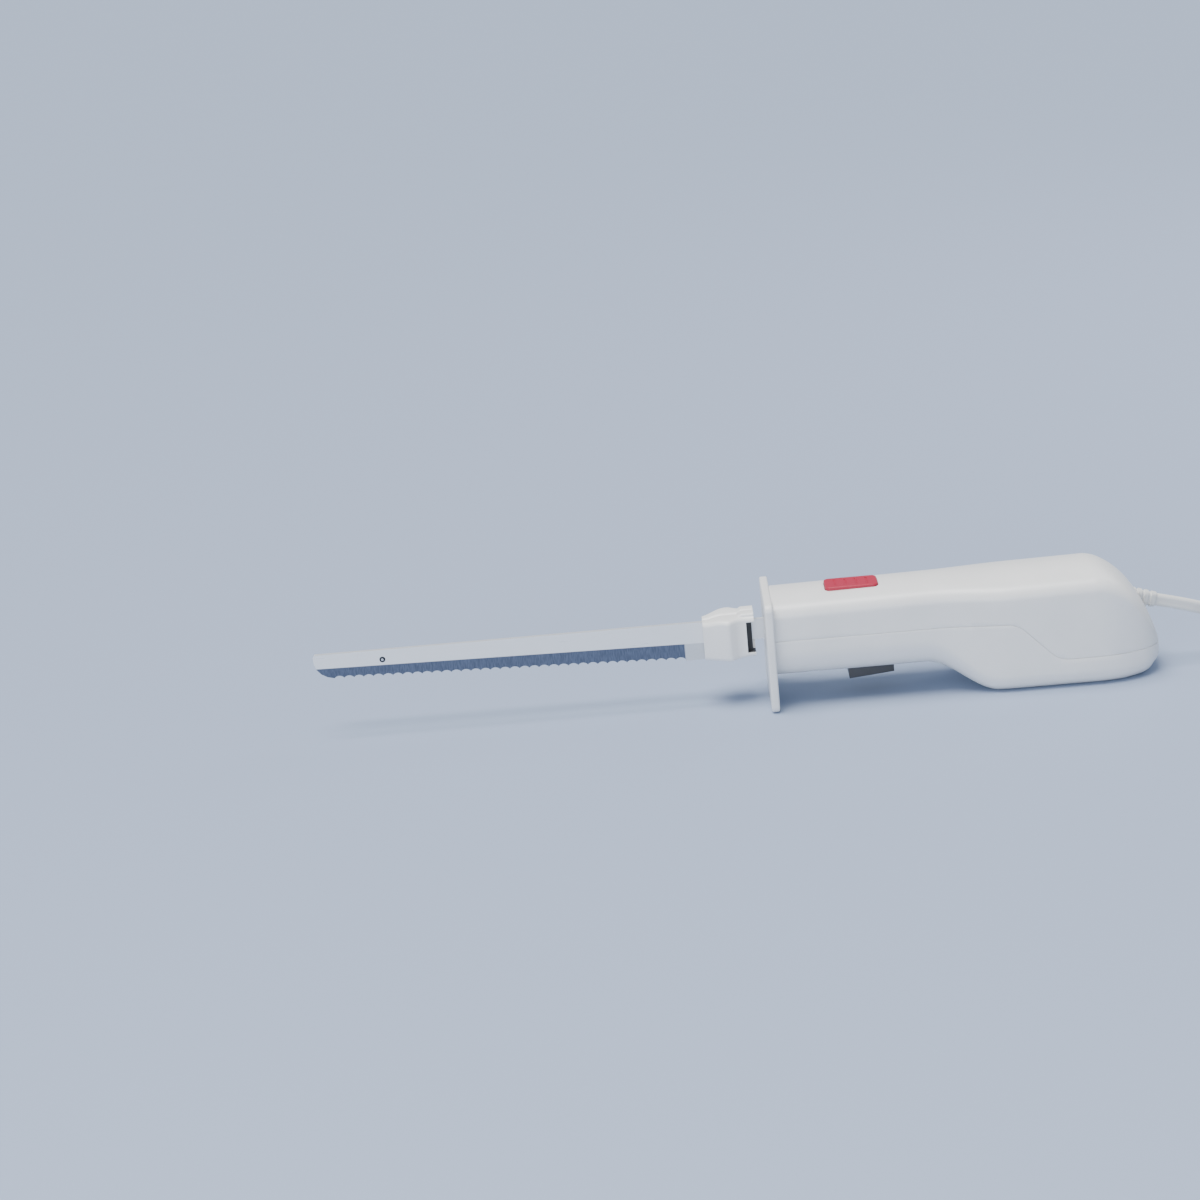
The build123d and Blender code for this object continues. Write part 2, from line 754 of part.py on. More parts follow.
def make_slide(side):
    """Sliding carrier: a socket for the blade's tang in front, and a plate with the crank's window behind."""
    with BuildPart() as slide:
        with BuildSketch(Plane.XY.offset(slide_bottom_z)):
            with BuildLine():
                Polyline(
                    (slide_front_x, side * blade_near),
                    (slide_block_end_x, side * blade_near),
                    (slide_block_end_x, side * slide_plate_near),
                    (slide_end_x, side * slide_plate_near),
                    (slide_end_x, side * slide_plate_far),
                    (slide_jog_x, side * slide_plate_far),
                    (slide_jog_x, side * slide_block_half),
                    (slide_front_x, side * slide_block_half),
                    close=True,
                )
            make_face()
        extrude(amount=slide_top_z - slide_bottom_z)
        with BuildSketch(side_plane(side, 0)):
            with Locations(((slide_front_x + tang_end_x + clearance) / 2, tang_middle_z)):
                Rectangle(tang_end_x + clearance - slide_front_x, tang_height + 2 * clearance)
        extrude(amount=outwards(side, blade_far + clearance), mode=Mode.SUBTRACT)
        with BuildSketch(Plane.XY.offset(tang_middle_z)):
            with Locations((latch_tooth_x - latch_swing / 2, side * (latch_near + latch_far) / 2)):
                Rectangle(
                    latch_tooth_length + latch_swing + 4 * clearance, latch_far - latch_near + 4 * clearance
                )
        extrude(amount=slide_top_z, mode=Mode.SUBTRACT)
        with BuildSketch(Plane.XY.offset(slide_rear_top_z)):
            with Locations(((latch_pivot_x + slide_block_end_x + overrun) / 2, 0)):
                Rectangle(slide_block_end_x + overrun - latch_pivot_x, 2 * slide_plate_near)
        extrude(amount=slide_top_z, mode=Mode.SUBTRACT)
        with BuildSketch(side_plane(side, latch_far + clearance)):
            with Locations((latch_pivot_x, (slide_top_z + latch_pivot_z + latch_ear_height) / 2 - overrun / 2)):
                Rectangle(latch_ear_length, latch_pivot_z + latch_ear_height - slide_top_z + overrun)
        extrude(amount=outwards(side, slide_block_half - latch_far - clearance))
        with BuildSketch(side_plane(side, latch_near)):
            with Locations((latch_pivot_x, latch_pivot_z)):
                Circle(latch_pin_radius + running)
        extrude(amount=outwards(side, slide_block_half + overrun), mode=Mode.SUBTRACT)
        with BuildSketch(side_plane(side, 0)):
            with Locations((gear_x, gear_z)):
                RectangleRounded(2 * window_half_length, 2 * window_half_height, crank_pin_radius)
        extrude(amount=outwards(side, slide_plate_far + overrun), mode=Mode.SUBTRACT)
    return slide


def make_latch(side):
    """Rocking lever over the tang: a tooth in front of its pivot and a long arm under the button's foot."""
    with BuildPart() as latch:
        with BuildSketch(side_plane(side, latch_near)):
            with Locations((latch_pivot_x + (latch_rear_reach - latch_tooth_reach - latch_tooth_length / 2) / 2,
                            latch_pivot_z)):
                Rectangle(latch_rear_reach + latch_tooth_reach + latch_tooth_length / 2, latch_height)
            with Locations((latch_tooth_x, (tang_top_z + clearance + latch_pivot_z) / 2)):
                Rectangle(latch_tooth_length, latch_pivot_z - tang_top_z - clearance)
        extrude(amount=outwards(side, latch_far - latch_near))
        with BuildSketch(side_plane(side, latch_far - seat)):
            with Locations((latch_pivot_x, latch_pivot_z)):
                Circle(latch_pin_radius)
        extrude(amount=outwards(side, slide_block_half - latch_far + seat))
    return latch


for side, name in ((-1, "left"), (1, "right")):
    finish(make_slide(side), f"drive_slide_{name}")
    finish(make_latch(side), f"latch_lever_{name}")

# Release button and its leaf spring

button_top_z = crown_z_at(button_middle_x) + button_proud
flange_top_z = crown_z_at(button_front_x) - wall - crown_share * button_width / 2 - clearance
flange_bottom_z = flange_top_z - button_flange_height
leg_bottom_z = latch_pivot_z + latch_height / 2 + clearance

with BuildPart() as release_button:
    with BuildSketch(Plane.XY.offset(flange_bottom_z)):
        with Locations((button_middle_x, 0)):
            RectangleRounded(
                button_length + 2 * button_flange, button_width + 2 * button_flange, button_corner_radius
            )
    extrude(amount=button_flange_height)
    with BuildSketch(Plane.XY.offset(flange_top_z)):
        with Locations((button_middle_x, 0)):
            RectangleRounded(button_length, button_width, button_corner_radius)
    extrude(amount=button_top_z - flange_top_z)
    fillet(release_button.faces().sort_by(Axis.Z)[-1].edges(), button_proud / 2)
    with BuildSketch(Plane.XY.offset(button_top_z)):
        with Locations((button_middle_x, 0)):
            with GridLocations(button_length / 5, 0, 4, 1):
                Rectangle(button_ridge_width, button_width * 2 / 3)
    extrude(amount=-button_ridge_height, mode=Mode.SUBTRACT)
    with BuildSketch(Plane.XZ.offset(-button_leg_half)):
        with BuildLine():
            Polyline(
                (button_leg_front_x, flange_top_z),
                (button_leg_front_x, leg_bottom_z + button_leg_slope * tan(radians(latch_angle))),
                (button_leg_front_x + button_leg_slope, leg_bottom_z),
                (button_leg_front_x + button_leg_length, leg_bottom_z),
                (button_leg_front_x + button_leg_length, flange_top_z),
                close=True,
            )
        make_face()
    extrude(amount=2 * button_leg_half)
    with BuildSketch(Plane.XY.offset(flange_bottom_z)):
        with Locations(((button_front_x - button_flange + button_leg_front_x - clearance) / 2, 0)):
            Rectangle(
                button_leg_front_x - clearance - button_front_x + button_flange,
                2 * (slide_block_half + clearance),
            )
    extrude(
        amount=latch_pivot_z + latch_ear_height + button_stroke + clearance - flange_bottom_z,
        mode=Mode.SUBTRACT,
    )
finish(release_button, "release_button")

with BuildPart() as button_spring:
    with BuildSketch(Plane.XZ.offset(-spring_width / 2)):
        with BuildLine() as leaf:
            ThreePointArc(
                (bridge_front_x + spring_thickness, frame_top_z),
                (bridge_front_x + bridge_length / 2, flange_bottom_z - seat - spring_thickness),
                (bridge_front_x + bridge_length - spring_thickness, frame_top_z),
            )
            ThreePointArc(
                (bridge_front_x + bridge_length, frame_top_z),
                (bridge_front_x + bridge_length / 2, flange_bottom_z - seat),
                (bridge_front_x, frame_top_z),
            )
            Line((bridge_front_x, frame_top_z), (bridge_front_x + spring_thickness, frame_top_z))
            Line(
                (bridge_front_x + bridge_length - spring_thickness, frame_top_z),
                (bridge_front_x + bridge_length, frame_top_z),
            )
        make_face()
    extrude(amount=spring_width)
finish(button_spring, "button_spring")

# Trigger, its pin, its spring and the switch over it

with BuildPart() as trigger:
    with BuildSketch(Plane.XZ.offset(-trigger_half_width)):
        with BuildLine():
            Polyline(
                (trigger_front_x, trigger_top_z),
                (trigger_front_x, grip_floor_z - trigger_lip_drop),
                (trigger_front_x + trigger_length, grip_floor_z - trigger_drop),
                (trigger_front_x + trigger_length, trigger_pivot_z - trigger_boss_radius),
                (trigger_pivot_x, trigger_pivot_z - trigger_boss_radius),
            )
            ThreePointArc(
                (trigger_pivot_x, trigger_pivot_z - trigger_boss_radius),
                (trigger_pivot_x + trigger_boss_radius, trigger_pivot_z),
                (trigger_pivot_x, trigger_pivot_z + trigger_boss_radius),
            )
            Polyline(
                (trigger_pivot_x, trigger_pivot_z + trigger_boss_radius),
                (trigger_front_x + trigger_length, trigger_top_z),
                (trigger_front_x, trigger_top_z),
            )
        make_face()
    extrude(amount=2 * trigger_half_width)
    with BuildSketch(Plane.XZ.offset(-trigger_half_width - overrun)):
        with Locations((trigger_pivot_x, trigger_pivot_z)):
            Circle(trigger_pin_radius + running)
    extrude(amount=2 * (trigger_half_width + overrun), mode=Mode.SUBTRACT)
    fillet(
        trigger.edges().filter_by(lambda edge: (edge @ 0.5).Z < grip_floor_z - trigger_drop / 2),
        trigger_corner_radius / 2,
    )
finish(trigger, "trigger")

with BuildPart() as trigger_pin:
    with BuildSketch(Plane.XZ.offset(-trigger_pin_half)):
        with Locations((trigger_pivot_x, trigger_pivot_z)):
            Circle(trigger_pin_radius)
    extrude(amount=2 * trigger_pin_half)
finish(trigger_pin, "trigger_pin")

plate_top_z = slide_bottom_z - clearance
plate_bottom_z = plate_top_z - frame_plate
switch_top_z = plate_bottom_z
switch_bottom_z = switch_top_z - switch_height
plunger_bottom_z = trigger_top_z + seat

with BuildPart() as switch_body:
    with BuildSketch(Plane.XY.offset(switch_bottom_z)):
        with Locations((switch_front_x + switch_length / 2, 0)):
            Rectangle(switch_length, 2 * switch_half_width)
    extrude(amount=switch_height)
    fillet(switch_body.edges().filter_by(Axis.Z), switch_half_width / 6)
    with BuildSketch(Plane.XY.offset(switch_bottom_z)):
        with Locations((plunger_x, 0)):
            Circle(plunger_radius + running)
    extrude(amount=switch_height - frame_plate / 4, mode=Mode.SUBTRACT)
    for index in (1, 2):
        with BuildSketch(Plane.YZ.offset(switch_front_x + switch_length)):
            with Locations((0, switch_bottom_z + switch_height * index / 3)):
                Rectangle(switch_half_width, seat * 4)
        extrude(amount=switch_half_width)
finish(switch_body, "switch_body")

with BuildPart() as switch_plunger:
    with BuildSketch(Plane.XY.offset(plunger_bottom_z)):
        with Locations((plunger_x, 0)):
            Circle(plunger_radius)
    extrude(amount=switch_top_z - frame_plate / 4 - plunger_stroke - clearance - plunger_bottom_z)
finish(switch_plunger, "switch_plunger")

with BuildPart() as gear_frame:
    for side in (-1, 1):
        with BuildSketch(side_plane(side, frame_near)):
            with BuildLine():
                Polyline(
                    (frame_front_x, frame_bottom_z),
                    (frame_front_x, frame_top_z),
                    (bulkhead_x + bulkhead_thickness, frame_top_z),
                    (bulkhead_x + bulkhead_thickness, frame_bottom_z),
                    close=True,
                )
            make_face()
            with Locations((gear_x, gear_z)):
                Circle(axle_radius, mode=Mode.SUBTRACT)
        extrude(amount=outwards(side, frame_far - frame_near))
    with BuildSketch(Plane.XY.offset(plate_bottom_z)):
        with Locations(((frame_front_x + frame_window_x) / 2, 0)):
            Rectangle(frame_window_x - frame_front_x, 2 * frame_far)
    extrude(amount=frame_plate)
    with BuildSketch(Plane.XY.offset(slide_top_z + clearance)):
        with Locations((bridge_front_x + bridge_length / 2, 0)):
            Rectangle(bridge_length, 2 * frame_far)
    extrude(amount=frame_top_z - slide_top_z - clearance)
    with BuildSketch(Plane.YZ.offset(bulkhead_x)):
        with Locations((0, (frame_bottom_z + frame_top_z) / 2)):
            Rectangle(2 * frame_far, frame_top_z - frame_bottom_z)
        with Locations((0, motor_z)):
            Circle(bearing_radius, mode=Mode.SUBTRACT)
    extrude(amount=bulkhead_thickness)
finish(gear_frame, "gear_frame")

with BuildPart() as gear_axle:
    with BuildSketch(Plane.XZ.offset(-frame_far)):
        with Locations((gear_x, gear_z)):
            Circle(axle_radius)
    extrude(amount=2 * frame_far)
finish(gear_axle, "gear_axle")

with BuildPart() as drive_gear:
    with BuildSketch(Plane.XZ.offset(-gear_thickness / 2)):
        with Locations((gear_x, gear_z)):
            Circle(gear_radius)
            with PolarLocations(gear_radius, gear_teeth):
                Rectangle(2 * gear_tooth_depth, pi * gear_radius / gear_teeth, mode=Mode.SUBTRACT)
    extrude(amount=gear_thickness)
    with BuildSketch(Plane.XZ.offset(-gear_thickness / 2 - gear_hub_height)):
        with Locations((gear_x, gear_z)):
            Circle(gear_hub_radius)
    extrude(amount=gear_thickness + 2 * gear_hub_height)
    for side, lift in ((-1, throw), (1, -throw)):
        with BuildSketch(side_plane(side, 0)):
            with Locations((gear_x, gear_z + lift)):
                Circle(crank_pin_radius)
        extrude(amount=outwards(side, slide_plate_far))
    with BuildSketch(Plane.XZ.offset(-frame_far)):
        with Locations((gear_x, gear_z)):
            Circle(axle_radius + running)
    extrude(amount=2 * frame_far, mode=Mode.SUBTRACT)
finish(drive_gear, "drive_gear")

# Motor: everything turns about one line along X

with BuildPart() as motor_shaft:
    with BuildSketch(on_axis(shaft_front_x)):
        Circle(shaft_radius)
    extrude(amount=shaft_rear_x - shaft_front_x)
    chamfer(motor_shaft.edges().filter_by(GeomType.CIRCLE), shaft_radius / 6)
finish(motor_shaft, "motor_shaft")

worm_front_x = gear_x - worm_length / 2
with BuildPart() as worm:
    with BuildSketch(on_axis(worm_front_x)):
        Circle(worm_radius)
        Circle(shaft_radius, mode=Mode.SUBTRACT)
    extrude(amount=worm_length)
    for index in range(1, int(worm_length / worm_groove_pitch)):
        with BuildSketch(on_axis(worm_front_x + index * worm_groove_pitch)):
            Circle(worm_radius + overrun)
            Circle(worm_radius - worm_groove_depth, mode=Mode.SUBTRACT)
        extrude(amount=worm_groove_pitch / 2, mode=Mode.SUBTRACT)
finish(worm, "worm")

for x, name in ((bulkhead_x, "front_bearing"), (bracket_x, "rear_bearing")):
    with BuildPart() as bearing:
        with BuildSketch(on_axis(x - (bearing_length - bulkhead_thickness) / 2)):
            Circle(bearing_radius)
            Circle(shaft_radius + running, mode=Mode.SUBTRACT)
        extrude(amount=bearing_length)
        chamfer(
            bearing.edges().filter_by(GeomType.CIRCLE).group_by(SortBy.RADIUS)[-1], bearing_radius / 12
        )
    finish(bearing, name)

with BuildPart() as fan:
    with BuildSketch(on_axis(fan_x)):
        Circle(fan_radius)
    extrude(amount=fan_disc)
    with BuildSketch(on_axis(fan_x)):
        Circle(fan_hub_radius)
        with PolarLocations((fan_radius - fan_blade_thickness + shaft_radius) / 2, fan_blade_count):
            Rectangle(fan_radius - fan_blade_thickness - shaft_radius, fan_blade_thickness)
    extrude(amount=fan_disc + fan_blade_height)
    with BuildSketch(on_axis(fan_x)):
        Circle(shaft_radius)
    extrude(amount=fan_disc + fan_blade_height, mode=Mode.SUBTRACT)
finish(fan, "cooling_fan")

core_rear_x = core_front_x + core_length
window_half_width = core_half_width - core_iron
window_half_reach = core_half_height - core_iron
shoe_radius = bore_radius + shoe_thickness

with BuildPart() as field_core:
    with BuildSketch(on_axis(core_front_x)):
        RectangleRounded(2 * core_half_width, 2 * core_half_height, core_iron)
        Rectangle(2 * window_half_width, 2 * window_half_reach, mode=Mode.SUBTRACT)
        Rectangle(2 * pole_half_width, 2 * window_half_reach + core_iron)
        with BuildSketch(mode=Mode.PRIVATE) as shoes:
            Circle(shoe_radius)
            Rectangle(2 * shoe_radius, shoe_radius, mode=Mode.SUBTRACT)
        add(shoes.sketch)
        Circle(bore_radius, mode=Mode.SUBTRACT)
    extrude(amount=core_length)
finish(field_core, "field_core")

coil_low = shoe_radius + clearance
for side, name in ((1, "upper"), (-1, "lower")):
    with BuildPart() as field_coil:
        with BuildSketch(Plane.XY.offset(motor_z + side * coil_low)):
            with Locations(((core_front_x + core_rear_x) / 2, 0)):
                RectangleRounded(
                    core_length + 2 * coil_width, 2 * (pole_half_width + coil_width), coil_width
                )
                Rectangle(core_length, 2 * pole_half_width, mode=Mode.SUBTRACT)
        extrude(amount=side * (window_half_reach - coil_low))
    finish(field_coil, f"field_coil_{name}")

with BuildPart() as armature_core:
    with BuildSketch(on_axis(core_front_x)):
        Circle(armature_radius)
        with PolarLocations(armature_radius, armature_slots):
            Rectangle(2 * slot_depth, slot_width, mode=Mode.SUBTRACT)
        Circle(shaft_radius, mode=Mode.SUBTRACT)
    extrude(amount=core_length)
finish(armature_core, "armature_core")

with BuildPart() as armature_winding:
    for x in (core_front_x - winding_length, core_rear_x):
        with BuildSketch(on_axis(x)):
            Circle(winding_radius)
            Circle(shaft_radius, mode=Mode.SUBTRACT)
        extrude(amount=winding_length)
    fillet(
        armature_winding.edges().filter_by(GeomType.CIRCLE).group_by(SortBy.RADIUS)[-1],
        winding_length / 4,
    )
finish(armature_winding, "armature_winding")

with BuildPart() as commutator:
    with BuildSketch(on_axis(commutator_x)):
        Circle(commutator_radius)
        with PolarLocations(commutator_radius, commutator_bars):
            Rectangle(2 * bar_groove, bar_groove, mode=Mode.SUBTRACT)
        Circle(shaft_radius, mode=Mode.SUBTRACT)
    extrude(amount=commutator_length)
finish(commutator, "commutator")

# Brushes run in holders that stand on the rear bracket, one each side of the commutator
brush_x = commutator_x + commutator_length / 2
brush_near = commutator_radius + running
holder_near = commutator_radius + holder_wall
holder_half = brush_size / 2 + seat + holder_wall
for side, name in ((-1, "left"), (1, "right")):
    with BuildPart() as brush:
        with BuildSketch(side_plane(side, brush_near)):
            with Locations((brush_x, motor_z)):
                Rectangle(brush_size, brush_size)
        extrude(amount=outwards(side, brush_length))
    finish(brush, f"carbon_brush_{name}")

    with BuildPart() as brush_spring:
        with BuildSketch(side_plane(side, brush_near + brush_length)):
            with Locations((brush_x, motor_z)):
                Circle(brush_size / 2 - seat)
                Circle(brush_size / 2 - seat - spring_thickness, mode=Mode.SUBTRACT)
        extrude(amount=outwards(side, holder_near + holder_length - holder_wall - brush_near - brush_length))
    finish(brush_spring, f"brush_spring_{name}")

    with BuildPart() as holder:
        with BuildSketch(side_plane(side, holder_near)):
            with Locations((brush_x, motor_z)):
                Rectangle(2 * holder_half, 2 * holder_half)
        extrude(amount=outwards(side, holder_length))
        with BuildSketch(side_plane(side, holder_near)):
            with Locations((brush_x, motor_z)):
                Rectangle(brush_size + 2 * seat, brush_size + 2 * seat)
        extrude(amount=outwards(side, holder_length - holder_wall), mode=Mode.SUBTRACT)
        with BuildSketch(side_plane(side, holder_near)):
            with Locations(((brush_x + holder_half + bracket_x) / 2, motor_z)):
                Rectangle(bracket_x - brush_x - holder_half, 2 * holder_half)
        extrude(amount=outwards(side, holder_length))
    finish(holder, f"brush_holder_{name}")

with BuildPart() as motor_bracket:
    with BuildSketch(on_axis(bracket_x)):
        RectangleRounded(2 * bracket_half, 2 * bracket_half, bearing_radius)
        Circle(bearing_radius, mode=Mode.SUBTRACT)
        with PolarLocations(bearing_radius * 2, 4, 45):
            Circle(bearing_radius / 2, mode=Mode.SUBTRACT)
    extrude(amount=bracket_thickness)
finish(motor_bracket, "motor_bracket")

# Screws that hold the shells together, driven from below

with BuildPart() as shell_screws:
    for x, y, floor_z in screw_spots:
        seam_z = seam_front_z if x < seam_fall_x else seam_rear_z
        head_z = floor_z + screw_seat_depth
        with BuildSketch(Plane.XY.offset(head_z - screw_head_height)):
            with Locations((x, y)):
                Circle(screw_head_radius)
        extrude(amount=screw_head_height)
        with BuildSketch(Plane.XY.offset(head_z)):
            with Locations((x, y)):
                Circle(screw_radius)
        extrude(amount=seam_z + screw_bite - head_z)
        with BuildSketch(Plane.XY.offset(head_z - screw_head_height)):
            with Locations((x, y)):
                Rectangle(screw_head_radius * 4 / 3, screw_radius / 3)
                Rectangle(screw_radius / 3, screw_head_radius * 4 / 3)
        extrude(amount=screw_head_height / 2, mode=Mode.SUBTRACT)
finish(shell_screws, "shell_screws")

# Cord: a tapered strain relief, a free stretch, a neat coil of what is put away, a tail and the plug

with BuildPart() as strain_relief:
    with BuildSketch(relief_plane):
        RectangleRounded(
            relief_root_width - 2 * seat, relief_root_thickness - 2 * seat, relief_root_thickness / 3
        )
    with BuildSketch(relief_plane.offset(relief_length)):
        RectangleRounded(relief_tip_width, relief_tip_thickness, relief_tip_thickness / 3)
    loft()
    with BuildSketch(relief_plane.offset(-relief_collar_length)):
        RectangleRounded(
            relief_root_width + 2 * relief_collar_extra,
            relief_root_thickness + 2 * relief_collar_extra,
            relief_root_thickness / 3,
        )
    extrude(amount=relief_collar_length)
finish(strain_relief, "strain_relief")

lay_z = cord_width / 2
coil_rise = cord_width + coil_gap
coil_outer = coil_middle_radius + coil_half_turns * coil_pitch / 4
exit_point = relief_plane.origin + relief_plane.z_dir * relief_length
coil_start = (coil_x, coil_start_y, lay_z)
stretch_points = [
    tuple(exit_point),
    *[(handle_rear_x + behind, y, z) for behind, y, z in free_route],
    coil_start,
]


def bend_radii(points):
    """Radius of each bend of a route: a share of its shorter run over the tangent of half the turn."""
    radii = []
    for before, here, after in zip(points[:-2], points[1:-1], points[2:]):
        into = Vector(*here) - Vector(*before)
        out = Vector(*after) - Vector(*here)
        turn = radians(into.get_angle(out))
        radii.append(bend_share * min(into.length, out.length) / tan(turn / 2))
    return radii


def make_cord(points, name):
    """Flat cord on its edge along a route of straight runs joined by tangent arcs."""
    radii = bend_radii(points)
    print(name, "bend radii", [round(radius, 1) for radius in radii])
    with BuildLine() as route:
        FilletPolyline(*points, radius=radii)
    sweep_cord(route.wire(), name)


def sweep_cord(path, name):
    """Sweep the cord's flat section along a wire, with its width upright."""
    heading = path % 0
    sideways = Vector(0, 0, 1).cross(heading).normalized()
    upright = heading.cross(sideways)
    with BuildPart() as cord:
        with BuildSketch(Plane(origin=path @ 0, x_dir=upright, z_dir=heading)) as section:
            SlotOverall(cord_width, cord_thickness)
        sweep(path=path)
    swept_share = cord.part.volume / (section.sketch.area * path.length)
    print(name, "length", round(path.length, 1), "volume over section times length", round(swept_share, 4))
    finish(cord, name)


with BuildLine() as coil_route:
    here = coil_start
    side = -1
    layer_z = (lay_z, lay_z + coil_rise)
    for index in range(coil_half_turns):
        radius = coil_outer - index * coil_pitch / 2
        there = (here[0], here[1] + 2 * side * radius, layer_z[0])
        ThreePointArc(here, (here[0] - side * radius, here[1] + side * radius, layer_z[0]), there)
        here, side = there, -side
    radius = coil_outer - coil_half_turns * coil_pitch / 2
    handle = quarter_share * radius
    middle = (here[0] - side * radius, here[1] + side * radius, lay_z + coil_rise / 2)
    there = (here[0], here[1] + 2 * side * radius, layer_z[1])
    Bezier(
        here,
        (here[0] - side * handle, here[1], layer_z[0]),
        (middle[0], middle[1] - side * handle, middle[2] - climb_share * coil_rise),
        middle,
    )
    Bezier(
        middle,
        (middle[0], middle[1] + side * handle, middle[2] + climb_share * coil_rise),
        (there[0] - side * handle, there[1], layer_z[1]),
        there,
    )
    here, side = there, -side
    for index in range(coil_half_turns - 1, -1, -1):
        radius = coil_outer - index * coil_pitch / 2
        there = (here[0], here[1] + 2 * side * radius, layer_z[1])
        ThreePointArc(here, (here[0] - side * radius, here[1] + side * radius, layer_z[1]), there)
        here, side = there, -side
    coil_end = here

samples = 1600
coil_wire = coil_route.wire()
coil_samples = [coil_wire @ (index / samples) for index in range(samples + 1)]
skip = int(samples * coil_middle_radius / coil_wire.length)
least = min(
    sqrt(
        max(abs(one.Z - other.Z) - cord_width, 0) ** 2
        + max(sqrt((one.X - other.X) ** 2 + (one.Y - other.Y) ** 2) - cord_thickness, 0) ** 2
    )
    for index, one in enumerate(coil_samples[::4])
    for other in coil_samples[index * 4 + skip::4]
)
print("cord_coil least gap to itself", round(least, 2), "turns", coil_half_turns + 0.5)

make_cord(stretch_points, "cord")
sweep_cord(coil_wire, "cord_coil")

tail_points = [(coil_end[0] + x, coil_end[1] + y, coil_end[2] + z) for x, y, z in tail_route]
make_cord([coil_end, *tail_points], "cord_tail")

plug_entry = Plane(origin=tail_points[-1], x_dir=(1, 0, 0), z_dir=(0, 1, 0))
plug_shoulder = plug_entry.offset(plug_length * plug_taper_share)
plug_face = plug_entry.offset(plug_length)

with BuildPart() as plug_body:
    with BuildSketch(plug_entry):
        RectangleRounded(plug_neck_width, plug_neck_height, plug_neck_height / 3)
    with BuildSketch(plug_shoulder):
        RectangleRounded(plug_width, plug_height, plug_neck_height / 3)
    loft(ruled=True)
    with BuildSketch(plug_shoulder):
        RectangleRounded(plug_width, plug_height, plug_neck_height / 3)
    extrude(amount=plug_length * (1 - plug_taper_share))
finish(plug_body, "plug_body")

with BuildPart() as plug_blades:
    with BuildSketch(plug_face):
        with GridLocations(plug_blade_spacing, 0, 2, 1):
            Rectangle(plug_blade_thickness, plug_blade_width)
    extrude(amount=plug_blade_length)
finish(plug_blades, "plug_blades")
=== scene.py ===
import json
import math

import bmesh
import bpy
import numpy as np
from bpy.props import FloatProperty, FloatVectorProperty, IntProperty, PointerProperty
from mathutils import Matrix, Vector


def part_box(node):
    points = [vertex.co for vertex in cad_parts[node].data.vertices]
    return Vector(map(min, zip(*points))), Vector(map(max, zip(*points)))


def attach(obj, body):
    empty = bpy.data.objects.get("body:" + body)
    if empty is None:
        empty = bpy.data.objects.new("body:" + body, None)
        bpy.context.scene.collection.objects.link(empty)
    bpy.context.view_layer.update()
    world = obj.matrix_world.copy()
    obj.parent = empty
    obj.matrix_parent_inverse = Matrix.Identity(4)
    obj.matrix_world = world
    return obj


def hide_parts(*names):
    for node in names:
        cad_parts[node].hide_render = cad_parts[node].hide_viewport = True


bl_info = {
    "name": "Electric carving knife",
    "version": (1, 0, 0),
    "blender": (4, 5, 0),
    "location": "3D View > Sidebar > Carving knife",
    "description": "Dresses the carving knife's CAD frame with moulded plastic, ground steel and its flat cord",
    "category": "Object",
}

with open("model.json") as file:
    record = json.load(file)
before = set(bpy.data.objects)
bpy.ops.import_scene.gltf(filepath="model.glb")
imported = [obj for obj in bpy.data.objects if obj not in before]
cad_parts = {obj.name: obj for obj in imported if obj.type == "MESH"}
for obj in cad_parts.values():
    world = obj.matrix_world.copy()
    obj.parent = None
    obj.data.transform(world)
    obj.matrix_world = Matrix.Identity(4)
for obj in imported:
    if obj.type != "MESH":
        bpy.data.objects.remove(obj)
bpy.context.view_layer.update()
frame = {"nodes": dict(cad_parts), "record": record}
MM = 0.001

# Lengths are in millimetres. X runs from the blade tips to the rear of the handle, Z is up, and the side
# that faces the camera is negative Y.
HANDLE_FRONT, REAR_CURVE, HANDLE_REAR = 21.8, 196.0, 231.8
WALL = 2.5
GRIP_HALF_WIDTH, BULB_HALF_WIDTH = 22.5, 27.5
GRIP_FLOOR, BULB_FLOOR = 15.7, -0.4
GRIP_FLOOR_RADIUS, BULB_FLOOR_RADIUS = 16.5, 10.0
CROWN_FRONT, CROWN_REAR, CROWN_RADIUS = 61.0, 63.3, 8.0
NOSE_HEIGHT = 12.5
SWELL, FALL = (108.0, 152.0), (104.0, 142.0)
CLEAR_OF_FRONT = 6.0
SEAM_HIGH, SEAM_LOW, SEAM_RADIUS = 39.3, 17.0, 14.0
SEAM_FALL_FRONT, SEAM_FALL_REAR = 152.0, 174.0
SEAM_START, SEAM_END = 10.0, 240.0
BUTTON_FRONT, BUTTON_LENGTH, BUTTON_WIDTH = 51.8, 28.8, 16.5
TRIGGER_FRONT, TRIGGER_LENGTH = 61.8, 24.7
SCREWS = ((42.8, 12.0, 15.7), (42.8, -12.0, 15.7), (211.3, 9.0, 0.0), (211.3, -9.0, 0.0))
SCREW_RADIUS, SCREW_SIDES = 3.2, 24
GUARD_THICKNESS = 4.4
SLOT_HALF_WIDTH, SLOT_HALF_HEIGHT, SLOT_MIDDLE = 3.5, 7.7, 40.35
BLADE_TIP, BLADE_HEEL = -231.8, -27.0
BEVEL_AT_TIP, BEVEL_AT_HEEL = 38.9, 35.1
COLLAR_FRONT, COLLAR_REAR = -16.3, 11.8
COLLAR_TOP, COLLAR_FOOT, COLLAR_INNER, COLLAR_WIDEST = 50.2, 26.5, 0.16, 13.98
RECESS_LOW, RECESS_HIGH, RECESS_END = 29.4, 47.2, 14.0
RELIEF_ORIGIN = np.array([206.0, 0.0, 43.5])
RELIEF_SLOPE = math.radians(14.0)
RELIEF_LENGTH = 26.0
CORD_LAYERS = (3.6, 11.4)
COIL_RADIUS, COIL_PITCH, COIL_HALF_TURNS = 41.575, 2.15, 5

